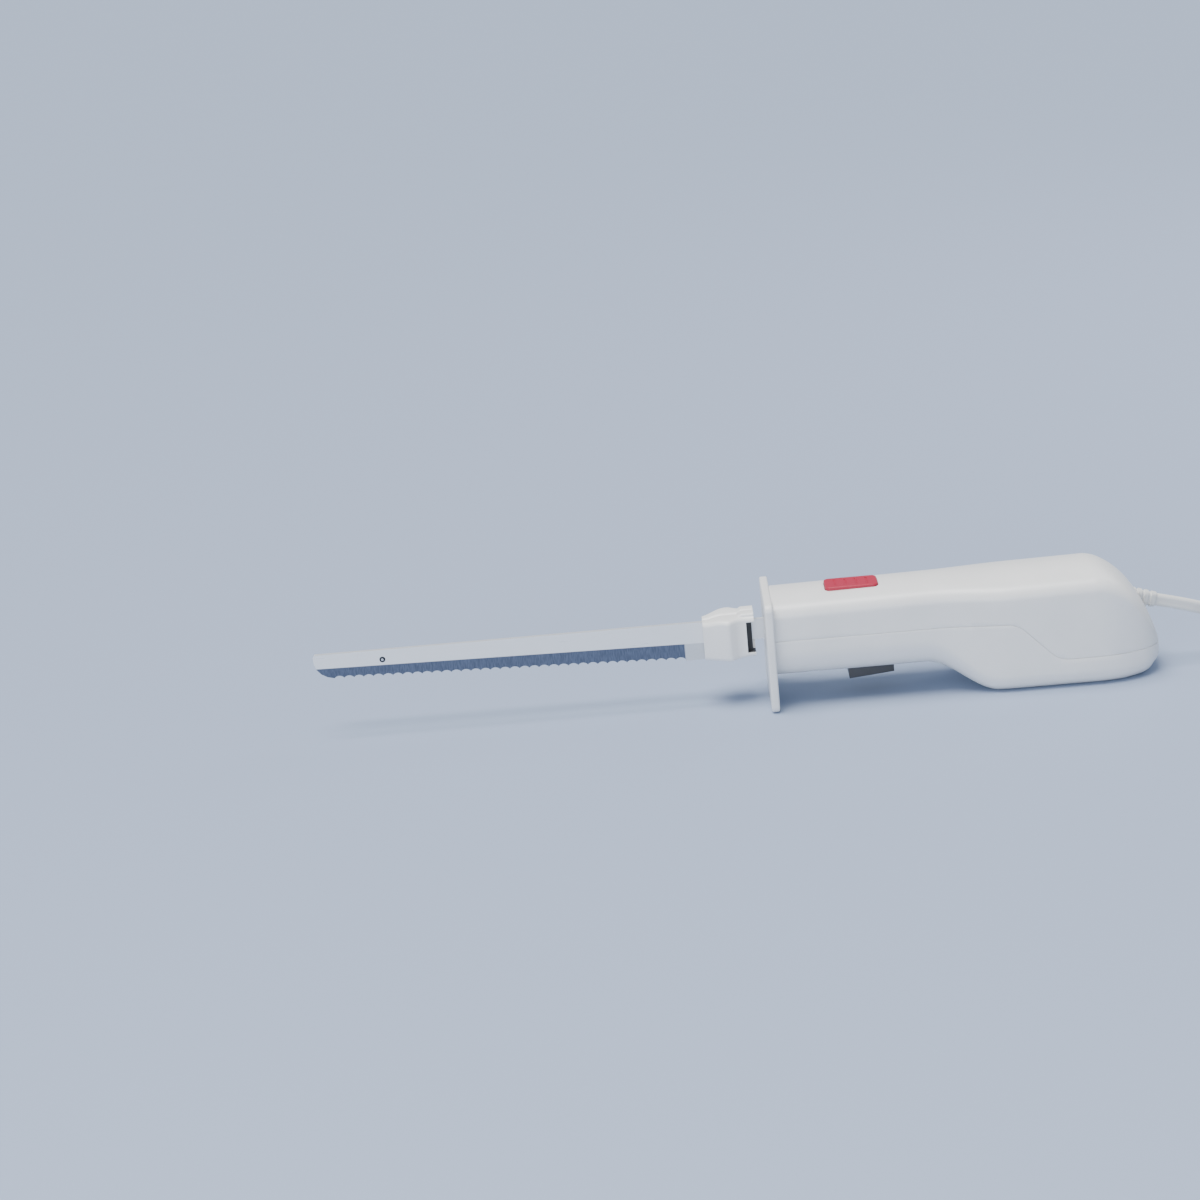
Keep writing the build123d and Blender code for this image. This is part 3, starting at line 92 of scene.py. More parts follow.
# The rear of the handle, by the share of the way to its end: the height of the crown, the lift of the floor and
# the half-width, each as a share.
REAR_FORM = (
    (0.0, 1.0, 0.0, 1.0), (0.12, 0.982, 0.0, 0.99), (0.26, 0.935, 0.0, 0.965), (0.39, 0.870, 0.0, 0.925),
    (0.51, 0.790, 0.02, 0.875), (0.62, 0.692, 0.04, 0.815), (0.715, 0.585, 0.07, 0.75), (0.80, 0.470, 0.14, 0.67),
    (0.88, 0.335, 0.30, 0.57), (0.945, 0.200, 0.50, 0.44), (1.0, 0.0, 0.98, 0.01),
)
# The plug from its blades to its tail, by the share of its length: half-width and half-height as shares.
PLUG_FORM = (
    (0.0, 0.10, 0.14), (0.0, 0.34, 0.52), (0.012, 0.385, 0.58), (0.03, 0.40, 0.60), (0.16, 0.43, 0.61),
    (0.16, 0.37, 0.53), (0.22, 0.37, 0.53), (0.22, 0.46, 0.63), (0.28, 0.46, 0.63), (0.28, 0.41, 0.57),
    (0.36, 0.56, 0.68), (0.50, 0.80, 0.84), (0.62, 0.98, 0.97), (0.93, 1.0, 1.0), (0.975, 0.985, 0.975),
    (1.0, 0.93, 0.90),
)
# The flare of a thumb collar: its reach from the middle of the knife at places along X.
COLLAR_FORM = (
    (-16.3, 7.7), (-14.6, 8.7), (-10.0, 10.9), (-5.4, 13.0), (-3.0, 13.95), (-1.6, 13.85), (0.0, 12.6),
    (2.0, 10.9), (4.4, 9.7), (7.0, 9.25), (9.6, 9.2), (11.8, 9.2),
)

# Floor and camera, in metres and degrees: azimuth, elevation and roll.
FLOOR_REACH, FLOOR_DROP, FLOOR_ROWS = 18.0, 0.00002, 9
CAMERA_ANGLES = (-2.0, 18.0, -5.6)
CAMERA_AIM = np.array([-0.0709, 0.0, 0.0644])
CAMERA_DISTANCE = 1.4228


# ---- Sizes and colours that a user would change


def length_setting(name, text, default, low, high):
    """A length in metres with its name and its description."""
    return FloatProperty(name=name, description=text, default=default, min=low, max=high,
                         subtype="DISTANCE", unit="LENGTH", precision=5)


def colour_setting(name, text, default):
    """A linear colour."""
    return FloatVectorProperty(name=name, description=text, default=default, min=0.0, max=1.0,
                               size=3, subtype="COLOR")


class KnifeHandleSettings(bpy.types.PropertyGroup):
    """The two shells, the guard plate and what is set into them."""

    shell: colour_setting("Shell plastic", "Colour of the moulded white housing", (0.86, 0.86, 0.85))
    button: colour_setting("Release button", "Colour of the blade release button", (0.44, 0.016, 0.050))
    trigger: colour_setting("Trigger", "Colour of the trigger", (0.050, 0.052, 0.058))
    seam_gap: length_setting("Seam gap", "Width of the groove between the shells", 0.00045, 0.0001, 0.001)
    seam_depth: length_setting("Seam depth", "Depth of the groove between the shells", 0.0006, 0.0001, 0.0015)
    edge: length_setting("Moulded edge", "Rounding of the plastic edges", 0.0004, 0.0001, 0.001)


class KnifeBladeSettings(bpy.types.PropertyGroup):
    """The steel and the thumb collars."""

    # The near-white flat and the dark blue bevel are partly painted reflection of the steel's surroundings.
    flat: colour_setting("Blade flat", "Colour of the polished flat of each blade", (0.93, 0.94, 0.95))
    bevel: colour_setting("Ground bevel", "Colour of the ground bevel over the teeth", (0.11, 0.13, 0.18))
    collar_edge: length_setting("Collar edge", "Rounding of the thumb collars' corners", 0.0016, 0.0004, 0.003)


class KnifeCordSettings(bpy.types.PropertyGroup):
    """The flat twin cord."""

    vinyl: colour_setting("Cord vinyl", "Colour of the cord, its strain relief and its plug",
                          (0.74, 0.74, 0.72))
    width: length_setting("Cord width", "Width of the flat cord", 0.0072, 0.004, 0.010)
    thickness: length_setting("Cord thickness", "Thickness of the flat cord", 0.0037, 0.002, 0.006)
    around: IntProperty(name="Sides", description="Points round the cord's section", default=16, min=8, max=32)


class KnifeStageSettings(bpy.types.PropertyGroup):
    """Floor, light and camera."""

    floor: colour_setting("Floor", "Colour of the floor", (0.33, 0.40, 0.54))
    key: FloatProperty(name="Key light", description="Strength of the wide light overhead", default=4.8,
                       min=0.0, max=50.0)
    fill: FloatProperty(name="Fill light", description="Power of the lights beside and behind", default=5.0,
                        min=0.0, max=500.0, unit="POWER")
    air: FloatProperty(name="Room light", description="Strength of the light from all round", default=0.42,
                       min=0.0, max=5.0)
    lens: FloatProperty(name="Focal length", description="Focal length of the camera", default=78.0,
                        min=10.0, max=300.0, subtype="DISTANCE_CAMERA", unit="CAMERA")


# ---- Shader expressions


class Term:
    """A number that varies over a surface: Python's operators on it add Math nodes."""

    def __init__(self, paint, socket):
        self.paint = paint
        self.socket = socket

    def maths(self, operation, *terms):
        return self.paint.node("ShaderNodeMath", {"operation": operation}, dict(enumerate(terms)))

    def __add__(self, other):
        return self.maths("ADD", self, other)

    def __sub__(self, other):
        return self.maths("SUBTRACT", self, other)

    def __mul__(self, other):
        return self.maths("MULTIPLY", self, other)

    def __truediv__(self, other):
        return self.maths("DIVIDE", self, other)

    def __rsub__(self, other):
        return self.maths("SUBTRACT", other, self)

    def __rtruediv__(self, other):
        return self.maths("DIVIDE", other, self)

    __radd__ = __add__
    __rmul__ = __mul__

    def power(self, exponent):
        return self.maths("POWER", self, exponent)

    def size(self):
        return self.maths("ABSOLUTE", self)

    def sine(self):
        return self.maths("SINE", self)

    def step(self, low, high):
        """Smooth rise from 0 at low to 1 at high."""
        return self.paint.node(
            "ShaderNodeMapRange", {"interpolation_type": "SMOOTHSTEP"},
            {"Value": self, "From Min": low, "From Max": high, "To Min": 0.0, "To Max": 1.0}, "Result")

    def mask(self):
        """Held between 0 and 1."""
        return self.paint.node("ShaderNodeClamp", {}, {"Value": self}, "Result")


class Paint:
    """A procedural material on the Principled shader, written as expressions."""

    def __init__(self, name, **fixed):
        self.material = bpy.data.materials.new(name)
        self.material.use_nodes = True
        self.nodes = self.material.node_tree.nodes
        self.links = self.material.node_tree.links
        self.shader = self.nodes["Principled BSDF"]
        for socket, value in fixed.items():
            self.shader.inputs[socket.replace("_", " ")].default_value = value
        place = self.node("ShaderNodeTexCoord", {}, {}, "Object")
        self.place = place
        self.x, self.y, self.z = (
            self.node("ShaderNodeSeparateXYZ", {}, {"Vector": place}, axis) / MM for axis in "XYZ")

    def node(self, kind, settings, inputs, output=0):
        """Adds a node: its settings first, then the values or links of its sockets; gives one output."""
        made = self.nodes.new(kind)
        for key, value in settings.items():
            if key == "stops":
                for index, (position, colour) in enumerate(value):
                    ramp = made.color_ramp.elements
                    stop = ramp[index] if index < len(ramp) else ramp.new(position)
                    stop.position, stop.color = position, colour
            else:
                setattr(made, key, value)
        for key, value in inputs.items():
            if isinstance(value, Term):
                self.links.new(value.socket, made.inputs[key])
            else:
                made.inputs[key].default_value = value
        return Term(self, made.outputs[output])

    def spots(self, scale, detail=2.0, stretch=(1.0, 1.0, 1.0), roughness=0.5):
        """Noise of 0 to 1, with cells of about 1/scale millimetres, stretched along the axes."""
        scales = [1 / (MM * part) for part in stretch]
        turned = self.node("ShaderNodeMapping", {}, {"Vector": self.place, "Scale": scales}, "Vector")
        return self.node("ShaderNodeTexNoise", {}, {"Vector": turned, "Scale": scale, "Detail": detail,
                                                    "Roughness": roughness})

    def blend(self, share, one, other):
        """Mix of two colours."""
        return self.node("ShaderNodeMix", {"data_type": "RGBA"},
                         {0: share, 6: solid(one), 7: solid(other)}, 2)

    def colour(self, value):
        self.links.new(value.socket, self.shader.inputs["Base Color"])

    def rough(self, value):
        self.links.new(value.socket, self.shader.inputs["Roughness"])

    def relief(self, height, depth, distance=1.0):
        """Bump from a height of 0 to 1 that stands for a depth in millimetres."""
        bump = self.node("ShaderNodeBump", {}, {"Height": height, "Strength": depth, "Distance": distance * MM},
                         "Normal")
        self.links.new(bump.socket, self.shader.inputs["Normal"])


def solid(colour):
    """A colour with its alpha, or the term that gives it."""
    return colour if isinstance(colour, Term) else (*tuple(colour)[:3], 1.0)


def dimmer(colour, share):
    """A colour made darker or lighter by a share."""
    return tuple(min(part * share, 1.0) for part in tuple(colour)[:3])


# ---- Finishes


def moulded_plastic(name, colour, gloss=0.34, grain=0.012, speck=0.05):
    """Moulded plastic: a soft mottle in the colour, a fine moulded grain, and scuffs that dull the gloss."""
    paint = Paint(name, Coat_Weight=0.06, Coat_Roughness=0.18)
    mottle = paint.spots(0.035, 3.0)
    grit = paint.spots(2.6, 3.0)
    rub = paint.spots(0.22, 5.0, roughness=0.7).step(0.56, 0.74)
    share = (mottle.step(0.35, 0.65) * 0.6 + grit * speck * 4.0).mask()
    paint.colour(paint.blend(share, colour, dimmer(colour, 0.94)))
    paint.rough((rub * 0.10 + grit * 0.06 + gloss).mask())
    paint.relief(grit, grain)
    return paint.material


def worn_plastic(name, colour, gloss=0.40, pale=(0.4, 0.4, 0.4)):
    """Moulded plastic whose rubbed places are a little paler and glossier."""
    paint = Paint(name)
    grit = paint.spots(3.2, 4.0)
    rub = paint.spots(0.16, 4.0, stretch=(1.0, 0.5, 1.0)).step(0.58, 0.80)
    tone = paint.blend(grit.step(0.40, 0.62) * 0.5, colour, dimmer(colour, 0.84))
    paint.colour(paint.blend(rub * 0.10, tone, pale))
    paint.rough((grit * 0.16 - rub * 0.08 + gloss).mask())
    paint.relief(grit, 0.03)
    return paint.material


def metal(name, colour, gloss=0.28, stretch=(14.0, 1.0, 1.0), stain=0.08, depth=0.010):
    """Metal with fine lines drawn along one axis, and faint stains."""
    paint = Paint(name, Metallic=1.0)
    lines = paint.spots(2.4, 4.0, stretch=stretch)
    stains = paint.spots(0.12, 4.0).step(0.50, 0.75)
    paint.colour(paint.blend((stains * stain + lines * 0.10).mask(), colour, dimmer(colour, 0.55)))
    paint.rough((lines * 0.18 + stains * 0.12 + gloss - 0.08).mask())
    paint.relief(lines, depth)
    return paint.material


def blade_steel(name, flat, bevel):
    """Ground blade: a polished flat brushed lengthwise, and under a slanting line a darker bevel ground across,
    paler at the plain heel. The grind and its lines are real; the flat's near-white colour at half metallic and
    the bevel's dark blue are painted reflection."""
    paint = Paint(name)
    line = BEVEL_AT_TIP + (paint.x - BLADE_TIP) * ((BEVEL_AT_HEEL - BEVEL_AT_TIP) / (BLADE_HEEL - BLADE_TIP))
    below = (line - paint.z).step(-0.15, 0.15)
    brushed = paint.spots(3.0, 5.0, stretch=(60.0, 1.0, 1.0))
    ground = paint.spots(2.6, 4.0, stretch=(1.0, 1.0, 26.0))
    smears = paint.spots(0.05, 3.0).step(0.45, 0.75)
    heel = (paint.x - BLADE_HEEL).step(-0.4, 0.4)
    # Painted reflection: the flat's near-white colour, with its brushed lines and smears.
    shine = paint.blend((brushed * 0.10 + smears * 0.08).mask(), flat, dimmer(flat, 0.62))
    # Partly painted reflection: the bevel's dark blue stands in for what the ground steel reflects; its grind
    # lines are real.
    dull = paint.blend(ground.step(0.30, 0.70), bevel, dimmer(bevel, 1.5))
    ground_share = below * (1 - heel * 0.62)
    paint.colour(paint.blend(ground_share, shine, dull))
    # Metallic is held at one half on the flat, so that its near-white colour shows as painted reflection.
    paint.links.new((ground_share * 0.45 + 0.5).socket, paint.shader.inputs["Metallic"])
    paint.rough((brushed * 0.12 + smears * 0.05 + 0.24 + below * (ground * 0.16 + 0.04)).mask())
    paint.relief(brushed * (1 - below) + ground * below, 0.02)
    return paint.material


def riveted_steel(name, middle, radius):
    """Rivet head: a bright middle worn flat, and a dark ring round it, by the distance from the rivet's axis,
    which is the root of the sum of the squares of the distances along X and Z."""
    paint = Paint(name, Metallic=1.0)
    along, up = paint.x - float(middle[0]), paint.z - float(middle[2])
    off = (along * along + up * up).power(0.5) / float(radius)
    grit = paint.spots(3.0, 3.0)
    ring = off.step(0.34, 0.48)
    paint.colour(paint.blend((ring + grit * 0.1).mask(), (0.80, 0.81, 0.83), (0.030, 0.034, 0.045)))
    paint.rough((grit * 0.1 + ring * 0.15 + 0.2).mask())
    paint.relief(grit, 0.02)
    return paint.material


def wound_copper(name, colour, pitch=0.55):
    """Enamelled wire laid side by side: ridges a pitch apart along X and Z, darkened on their sides and in the
    grooves between them as painted shade, with a varnish over them.
    """
    paint = Paint(name, Metallic=0.85, Coat_Weight=0.35, Coat_Roughness=0.2)
    ridges = ((paint.x + paint.z * 0.2) * (math.tau / pitch)).sine().size()
    wander = paint.spots(0.5, 3.0)
    # Painted shade: the sides of each wire and the grooves between turns are darkened.
    paint.colour(paint.blend((1 - ridges) * 0.6 + wander * 0.2, colour, dimmer(colour, 0.35)))
    paint.rough((wander * 0.2 + 0.28).mask())
    paint.relief(ridges, 0.5, 0.2)
    return paint.material


def stacked_iron(name, colour, sheet=0.5):
    """A stack of thin iron sheets: fine lines a sheet apart along X, and a brown bloom of rust."""
    paint = Paint(name, Metallic=0.8)
    lines = (paint.x * (math.tau / sheet)).sine().size()
    bloom = paint.spots(0.25, 5.0, roughness=0.7).step(0.52, 0.72)
    base = paint.blend((1 - lines).power(3.0) * 0.7, colour, dimmer(colour, 0.35))
    paint.colour(paint.blend(bloom * 0.35, base, (0.14, 0.06, 0.03)))
    paint.rough((bloom * 0.25 + 0.42).mask())
    paint.relief(lines, 0.4, 0.1)
    return paint.material


def cord_vinyl(name, colour):
    """Soft vinyl: faint patches of dust, and a fine grain."""
    paint = Paint(name, Coat_Weight=0.05, Coat_Roughness=0.3)
    grit = paint.spots(1.8, 4.0)
    dust = paint.spots(0.15, 4.0).step(0.48, 0.72)
    paint.colour(paint.blend((dust * 0.35 + grit * 0.2).mask(), colour, dimmer(colour, 0.82)))
    paint.rough((grit * 0.15 + dust * 0.10 + 0.36).mask())
    paint.relief(grit, 0.03)
    return paint.material


def floor_finish(name, colour):
    """Matt table top with a faint mottle."""
    paint = Paint(name)
    cloud = paint.spots(0.008, 3.0)
    paint.colour(paint.blend(cloud * 0.3, colour, dimmer(colour, 0.95)))
    paint.rough(cloud * 0.1 + 0.72)
    return paint.material


def paint_piece(piece, *materials):
    """Gives a piece its materials in order."""
    piece.data.materials.clear()
    for material in materials:
        piece.data.materials.append(material)


def finish_for(slot, maker, *arguments):
    """The finish of a slot, made the first time that a piece asks for it."""
    name = slot + "_finish"
    return bpy.data.materials.get(name) or maker(name, *arguments)


# ---- Surfaces


def make_mesh(name, points, faces):
    """A mesh object at the origin from millimetre points and faces of one size each, with its faces outwards."""
    mesh = bpy.data.meshes.new(name)
    mesh.from_pydata((np.asarray(points) * MM).tolist(), [], [np.asarray(face).tolist() for face in faces])
    face_out(mesh)
    piece = bpy.data.objects.new(name, mesh)
    bpy.context.scene.collection.objects.link(piece)
    return piece


def face_out(mesh, merge=0.0):
    """Merges doubles where asked, and turns every face outwards."""
    work = bmesh.new()
    work.from_mesh(mesh)
    if merge:
        bmesh.ops.remove_doubles(work, verts=work.verts, dist=merge)
    bmesh.ops.recalc_face_normals(work, faces=work.faces)
    work.to_mesh(mesh)
    work.free()


def rings_along(along, ring, middle=(0.0, 0.0)):
    """Grid of rings of (across, up) that stand at places along X, about a middle."""
    x = np.repeat(np.asarray(along, float)[:, None, None], ring.shape[1], axis=1)
    return np.concatenate([x, ring + np.asarray(middle, float)], axis=-1)


def grid_piece(name, grid):
    """Closed piece from a grid of rings, rows by ring points by 3: a quad between each four neighbours, the ring
    closed on itself, and one flat face over each end ring."""
    rows, ring = grid.shape[:2]
    index = np.arange(rows * ring).reshape(rows, ring)
    across = np.roll(index, -1, axis=1)
    quads = np.stack([index[:-1], across[:-1], across[1:], index[1:]], axis=-1).reshape(-1, 4)
    ends = [index[0][::-1], index[-1]]
    return make_mesh(name, grid.reshape(-1, 3), [*quads, *ends])


def rounded_ring(half_width, half_height, radius, count=8):
    """Ring of a rounded rectangle: four quarter circles of a radius about the corners' centres, and straight
    sides between them. Sizes may be arrays, one per row; gives rows by points by (across, up)."""
    half_width, half_height, radius = np.broadcast_arrays(
        *(np.atleast_1d(np.asarray(value, float)) for value in (half_width, half_height, radius)))
    radius = np.minimum(radius, 0.999 * np.minimum(half_width, half_height))
    turn = np.linspace(0, math.pi / 2, count)
    angle = np.concatenate([turn + quarter * math.pi / 2 for quarter in range(4)])
    sign_y = np.repeat([1, -1, -1, 1], count)
    sign_z = np.repeat([1, 1, -1, -1], count)
    across = (half_width - radius)[:, None] * sign_y + radius[:, None] * np.cos(angle)
    up = (half_height - radius)[:, None] * sign_z + radius[:, None] * np.sin(angle)
    return np.stack([across, up], axis=-1)


def eased_levels(low, high, edge, count=5):
    """Levels from low to high and the inset at each, for a quarter-round of that edge at both ends: the inset is
    edge times one minus the sine of the angle, and the level is in by edge times one minus its cosine."""
    angle = np.linspace(0, math.pi / 2, count)
    near = low + edge * (1 - np.cos(angle))
    far = high - edge * (1 - np.cos(angle))
    inset = edge * (1 - np.sin(angle))
    return np.concatenate([near, far[::-1]]), np.concatenate([inset, inset[::-1]])


def smooth_rise(value, low, high):
    """Share from 0 at low to 1 at high by 3t squared less 2t cubed."""
    share = np.clip((value - low) / (high - low), 0, 1)
    return share * share * (3 - 2 * share)


def modified(piece, kind, **settings):
    """Adds one modifier to a piece with its settings."""
    modifier = piece.modifiers.new(kind.title(), kind)
    for key, value in settings.items():
        setattr(modifier, key, value)
    return modifier


def settle(piece):
    """Makes a piece's modifiers part of its mesh."""
    bpy.context.view_layer.update()
    graph = bpy.context.evaluated_depsgraph_get()
    mesh = bpy.data.meshes.new_from_object(piece.evaluated_get(graph))
    piece.modifiers.clear()
    old = piece.data
    piece.data = mesh
    bpy.data.meshes.remove(old)
    mesh.name = piece.name


def cut(piece, *tools, operation="DIFFERENCE"):
    """Takes each tool's solid away from a piece, or keeps what they share, and removes the tools."""
    for tool in tools:
        modified(piece, "BOOLEAN", operation=operation, solver="MANIFOLD", object=tool)
        settle(piece)
        bpy.data.objects.remove(tool)


def soften(piece, width, segments=2, angle=30.0):
    """Rounds a piece's sharp edges by a bevel, and shades it smooth but for what stays sharp."""
    modified(piece, "BEVEL", width=width, segments=segments, limit_method="ANGLE",
             angle_limit=math.radians(angle), harden_normals=False)
    settle(piece)
    shade(piece)


def shade(piece, angle=38.0):
    """Smooth shading, with edges over an angle left sharp."""
    mesh = piece.data
    mesh.polygons.foreach_set("use_smooth", np.ones(len(mesh.polygons), bool))
    mesh.set_sharp_from_angle(angle=math.radians(angle))
    mesh.update()


def block(name, low, high):
    """Plain box between two corners, used as a cutting tool."""
    low, high = np.asarray(low, float), np.asarray(high, float)
    middle, half = (low + high) / 2, (high - low) / 2
    ring = rounded_ring(half[1], half[2], 0.001, 2)[0]
    grid = np.stack([np.column_stack([np.full(len(ring), x), ring[:, 0] + middle[1], ring[:, 1] + middle[2]])
                     for x in (low[0], high[0])])
    return grid_piece(name, grid)


def place(piece, body, slot, *nodes):
    """A finished piece rides on its body and stands for its CAD nodes, which are hidden; the slot is not used."""
    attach(piece, body)
    if nodes:
        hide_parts(*nodes)
    return piece


# ---- Forms of the knife


def through_knots(at, knots, values):
    """Smooth curve through knots: between two of them a cubic Hermite span, whose slope at each knot is the
    central difference of its neighbours, or one-sided at the ends."""
    slope = np.gradient(values, knots)
    span = np.clip(np.searchsorted(knots, at, side="right") - 1, 0, len(knots) - 2)
    step = knots[span + 1] - knots[span]
    t = (at - knots[span]) / step
    return ((2 * t**3 - 3 * t**2 + 1) * values[span] + (t**3 - 2 * t**2 + t) * step * slope[span]
            + (3 * t**2 - 2 * t**3) * values[span + 1] + (t**3 - t**2) * step * slope[span + 1])


def handle_rings(inset, front, straight_rows=90, rear_rows=44):
    """Rings of the handle's form, drawn in by an inset. Half a ring runs down from the middle of the crown: an
    arc of radius (half-width squared plus rise squared) over twice the rise, with the rise 0.18 of the
    half-width, a fillet tangent to that arc and to the side, the upright side, a quarter-round and the flat
    floor. Half-width and floor change along X by smooth rises, and at the rear by curves through knots over the
    root of the share left to the end, which closes the nose round."""
    x = np.linspace(front, REAR_CURVE, straight_rows)[:-1]
    swell, fall = smooth_rise(x, *SWELL), smooth_rise(x, *FALL)
    half = GRIP_HALF_WIDTH + (BULB_HALF_WIDTH - GRIP_HALF_WIDTH) * swell - inset
    floor = GRIP_FLOOR * (1 - fall) + BULB_FLOOR * fall + inset
    climb = np.clip((x - HANDLE_FRONT) / (REAR_CURVE - HANDLE_FRONT), 0, 1)
    crown = CROWN_FRONT + (CROWN_REAR - CROWN_FRONT) * climb - inset
    floor_radius = GRIP_FLOOR_RADIUS + (BULB_FLOOR_RADIUS - GRIP_FLOOR_RADIUS) * fall - inset

    along, *shares = np.array(REAR_FORM).T
    left = np.linspace(1.0, 0.0, rear_rows)
    knots = np.sqrt(1 - along)[::-1]
    height, lift, width = (through_knots(left, knots, values[::-1]) for values in shares)
    x = np.concatenate([x, REAR_CURVE + (HANDLE_REAR - REAR_CURVE - inset) * (1 - left**2)])
    half = np.concatenate([half, np.maximum((BULB_HALF_WIDTH - inset) * width, 0.05)])
    floor = np.concatenate([floor, (NOSE_HEIGHT - BULB_FLOOR - inset) * lift + inset + BULB_FLOOR])
    crown = np.concatenate([crown, NOSE_HEIGHT + (CROWN_REAR - NOSE_HEIGHT - inset) * height])
    floor_radius = np.concatenate([floor_radius, np.full(rear_rows, BULB_FLOOR_RADIUS - inset)])
    crown = np.maximum(crown, floor + 0.3)

    rise = 0.18 * half
    limit = 0.9 * np.minimum(half, np.maximum((crown - rise - floor) / 2, 0.02))
    top_radius, floor_radius = np.minimum(CROWN_RADIUS - inset, limit), np.minimum(floor_radius, limit)
    arc = (half**2 + rise**2) / (2 * rise)
    reach = half - top_radius
    drop = np.sqrt(np.maximum((arc - top_radius) ** 2 - reach**2, 0))
    end = np.arctan2(reach, drop)
    pieces = []
    turn = end[:, None] * np.linspace(0, 1, 9)
    pieces.append((arc[:, None] * np.sin(turn), (crown - arc)[:, None] + arc[:, None] * np.cos(turn)))
    turn = end[:, None] + (math.pi / 2 - end)[:, None] * np.linspace(0, 1, 10)[1:]
    centre = crown - arc + drop
    pieces.append((reach[:, None] + top_radius[:, None] * np.sin(turn),
                   centre[:, None] + top_radius[:, None] * np.cos(turn)))
    share = np.linspace(0, 1, 12)[1:]
    low = floor + floor_radius
    pieces.append((np.repeat(half[:, None], 11, axis=1), centre[:, None] + (low - centre)[:, None] * share))
    turn = np.linspace(0, math.pi / 2, 11)[1:]
    pieces.append(((half - floor_radius)[:, None] + floor_radius[:, None] * np.cos(turn),
                   low[:, None] - floor_radius[:, None] * np.sin(turn)))
    share = np.linspace(1, 0, 6)[1:]
    pieces.append(((half - floor_radius)[:, None] * share, np.repeat(floor[:, None], 5, axis=1)))
    across = np.concatenate([part[0] for part in pieces], axis=1)
    up = np.concatenate([part[1] for part in pieces], axis=1)
    across = np.concatenate([across, -across[:, -2:0:-1]], axis=1)
    up = np.concatenate([up, up[:, -2:0:-1]], axis=1)
    if inset == 0:
        up = np.maximum(up, 0.0)
    return np.stack([np.repeat(x[:, None], across.shape[1], axis=1), across, up], axis=-1)


def seam_line(drop=0.0):
    """The seam seen from the side, by points (x, z): level, a straight fall and level again, with both corners
    rounded by arcs of one radius, whose tangent length is the radius times the tangent of half the slope."""
    slope = math.atan2(SEAM_HIGH - SEAM_LOW, SEAM_FALL_REAR - SEAM_FALL_FRONT)
    tangent = SEAM_RADIUS * math.tan(slope / 2)
    turn = np.linspace(0, slope, 14)
    arc = SEAM_RADIUS * np.column_stack([np.sin(turn), np.cos(turn) - 1])
    first = [SEAM_FALL_FRONT - tangent, SEAM_HIGH] + arc
    second = [SEAM_FALL_REAR + tangent, SEAM_LOW] - arc[::-1]
    line = np.vstack([[SEAM_START, SEAM_HIGH], first, second, [SEAM_END, SEAM_LOW]])
    return line - [0.0, drop]


def curtain(name, outline, half_width=40.0):
    """Solid of an outline in X and Z, carried straight across the knife."""
    grid = np.stack([np.column_stack([outline[:, 0], np.full(len(outline), y), outline[:, 1]])
                     for y in (-half_width, half_width)])
    return grid_piece(name, grid)


def upright_tool(name, x, y, low, high, half_length, half_width, radius):
    """Upright solid of a rounded rectangle, used as a cutting tool."""
    return upright(name, rounded_ring(half_length, half_width, radius)[0] + [x, y], low, high)


def upright(name, ring, low, high):
    """Upright solid of a ring of (x, y) between two heights."""
    return grid_piece(name, np.stack([np.column_stack([ring, np.full(len(ring), z)]) for z in (low, high)]))


def relief_axes():
    """Origin and unit axes of the cord's exit: out along it, across, and up."""
    out = np.array([math.cos(RELIEF_SLOPE), 0.0, -math.sin(RELIEF_SLOPE)])
    return out, np.array([0.0, 1.0, 0.0]), np.array([math.sin(RELIEF_SLOPE), 0.0, math.cos(RELIEF_SLOPE)])


def relief_rings(stations, half_up, half_across, radius):
    """Rings of rounded rectangles across the exit's axis, at distances along it."""
    out, across, up = relief_axes()
    ring = rounded_ring(half_up, half_across, radius)
    return RELIEF_ORIGIN + np.asarray(stations)[:, None, None] * out + ring[..., :1] * up + ring[..., 1:] * across


def exit_point():
    """Where the cord leaves the tip of its strain relief."""
    return RELIEF_ORIGIN + RELIEF_LENGTH * relief_axes()[0]


def cord_route():
    """Points of the cord's route: the free stretch, the coil and the tail. The coil is half turns whose radius
    falls by a step each, then a half turn that climbs by a smooth rise, then the same half turns outwards on the
    upper layer; each half turn is a formula of its angle, so a turn has 24 points."""
    stretch = [exit_point(), (244.4, 0.0, 33.9), (260.0, 0.6, 28.7), (278.3, 6.2, 20.8), (293.8, 17.0, 12.6),
               (308.8, 29.0, 6.6), (324.3, 39.0, 4.0), (340.0, 43.7, 3.6)]
    route = [np.array(stretch)]
    low, high = CORD_LAYERS
    here, side = np.array([354.0, 43.7, low]), -1
    turn = np.linspace(0, math.pi, 13)[:-1]
    across = 1 - np.cos(turn)
    radii = COIL_RADIUS - COIL_PITCH * np.arange(COIL_HALF_TURNS + 1)
    climb = low + (high - low) * smooth_rise(across, 0, 2)
    for radius, height, end in (*((radius, low, low) for radius in radii[:-1]), (radii[-1], climb, high),
                                *((radius, high, high) for radius in radii[-2::-1])):
        route.append(np.column_stack([here[0] - side * radius * np.sin(turn), here[1] + side * radius * across,
                                      np.broadcast_to(height, turn.shape)]))
        here = np.array([here[0], here[1] + 2 * side * radius, end])
        side = -side
    tail = [(0, 0, 0), (-12.2, 0, 0.8), (-23.7, 4.7, 4.0), (-32.4, 13.5, 7.6), (-37.2, 25.0, 10.4),
            (-37.2, 37.2, 11.4)]
    route.append(here + np.array(tail))
    return np.concatenate(route)


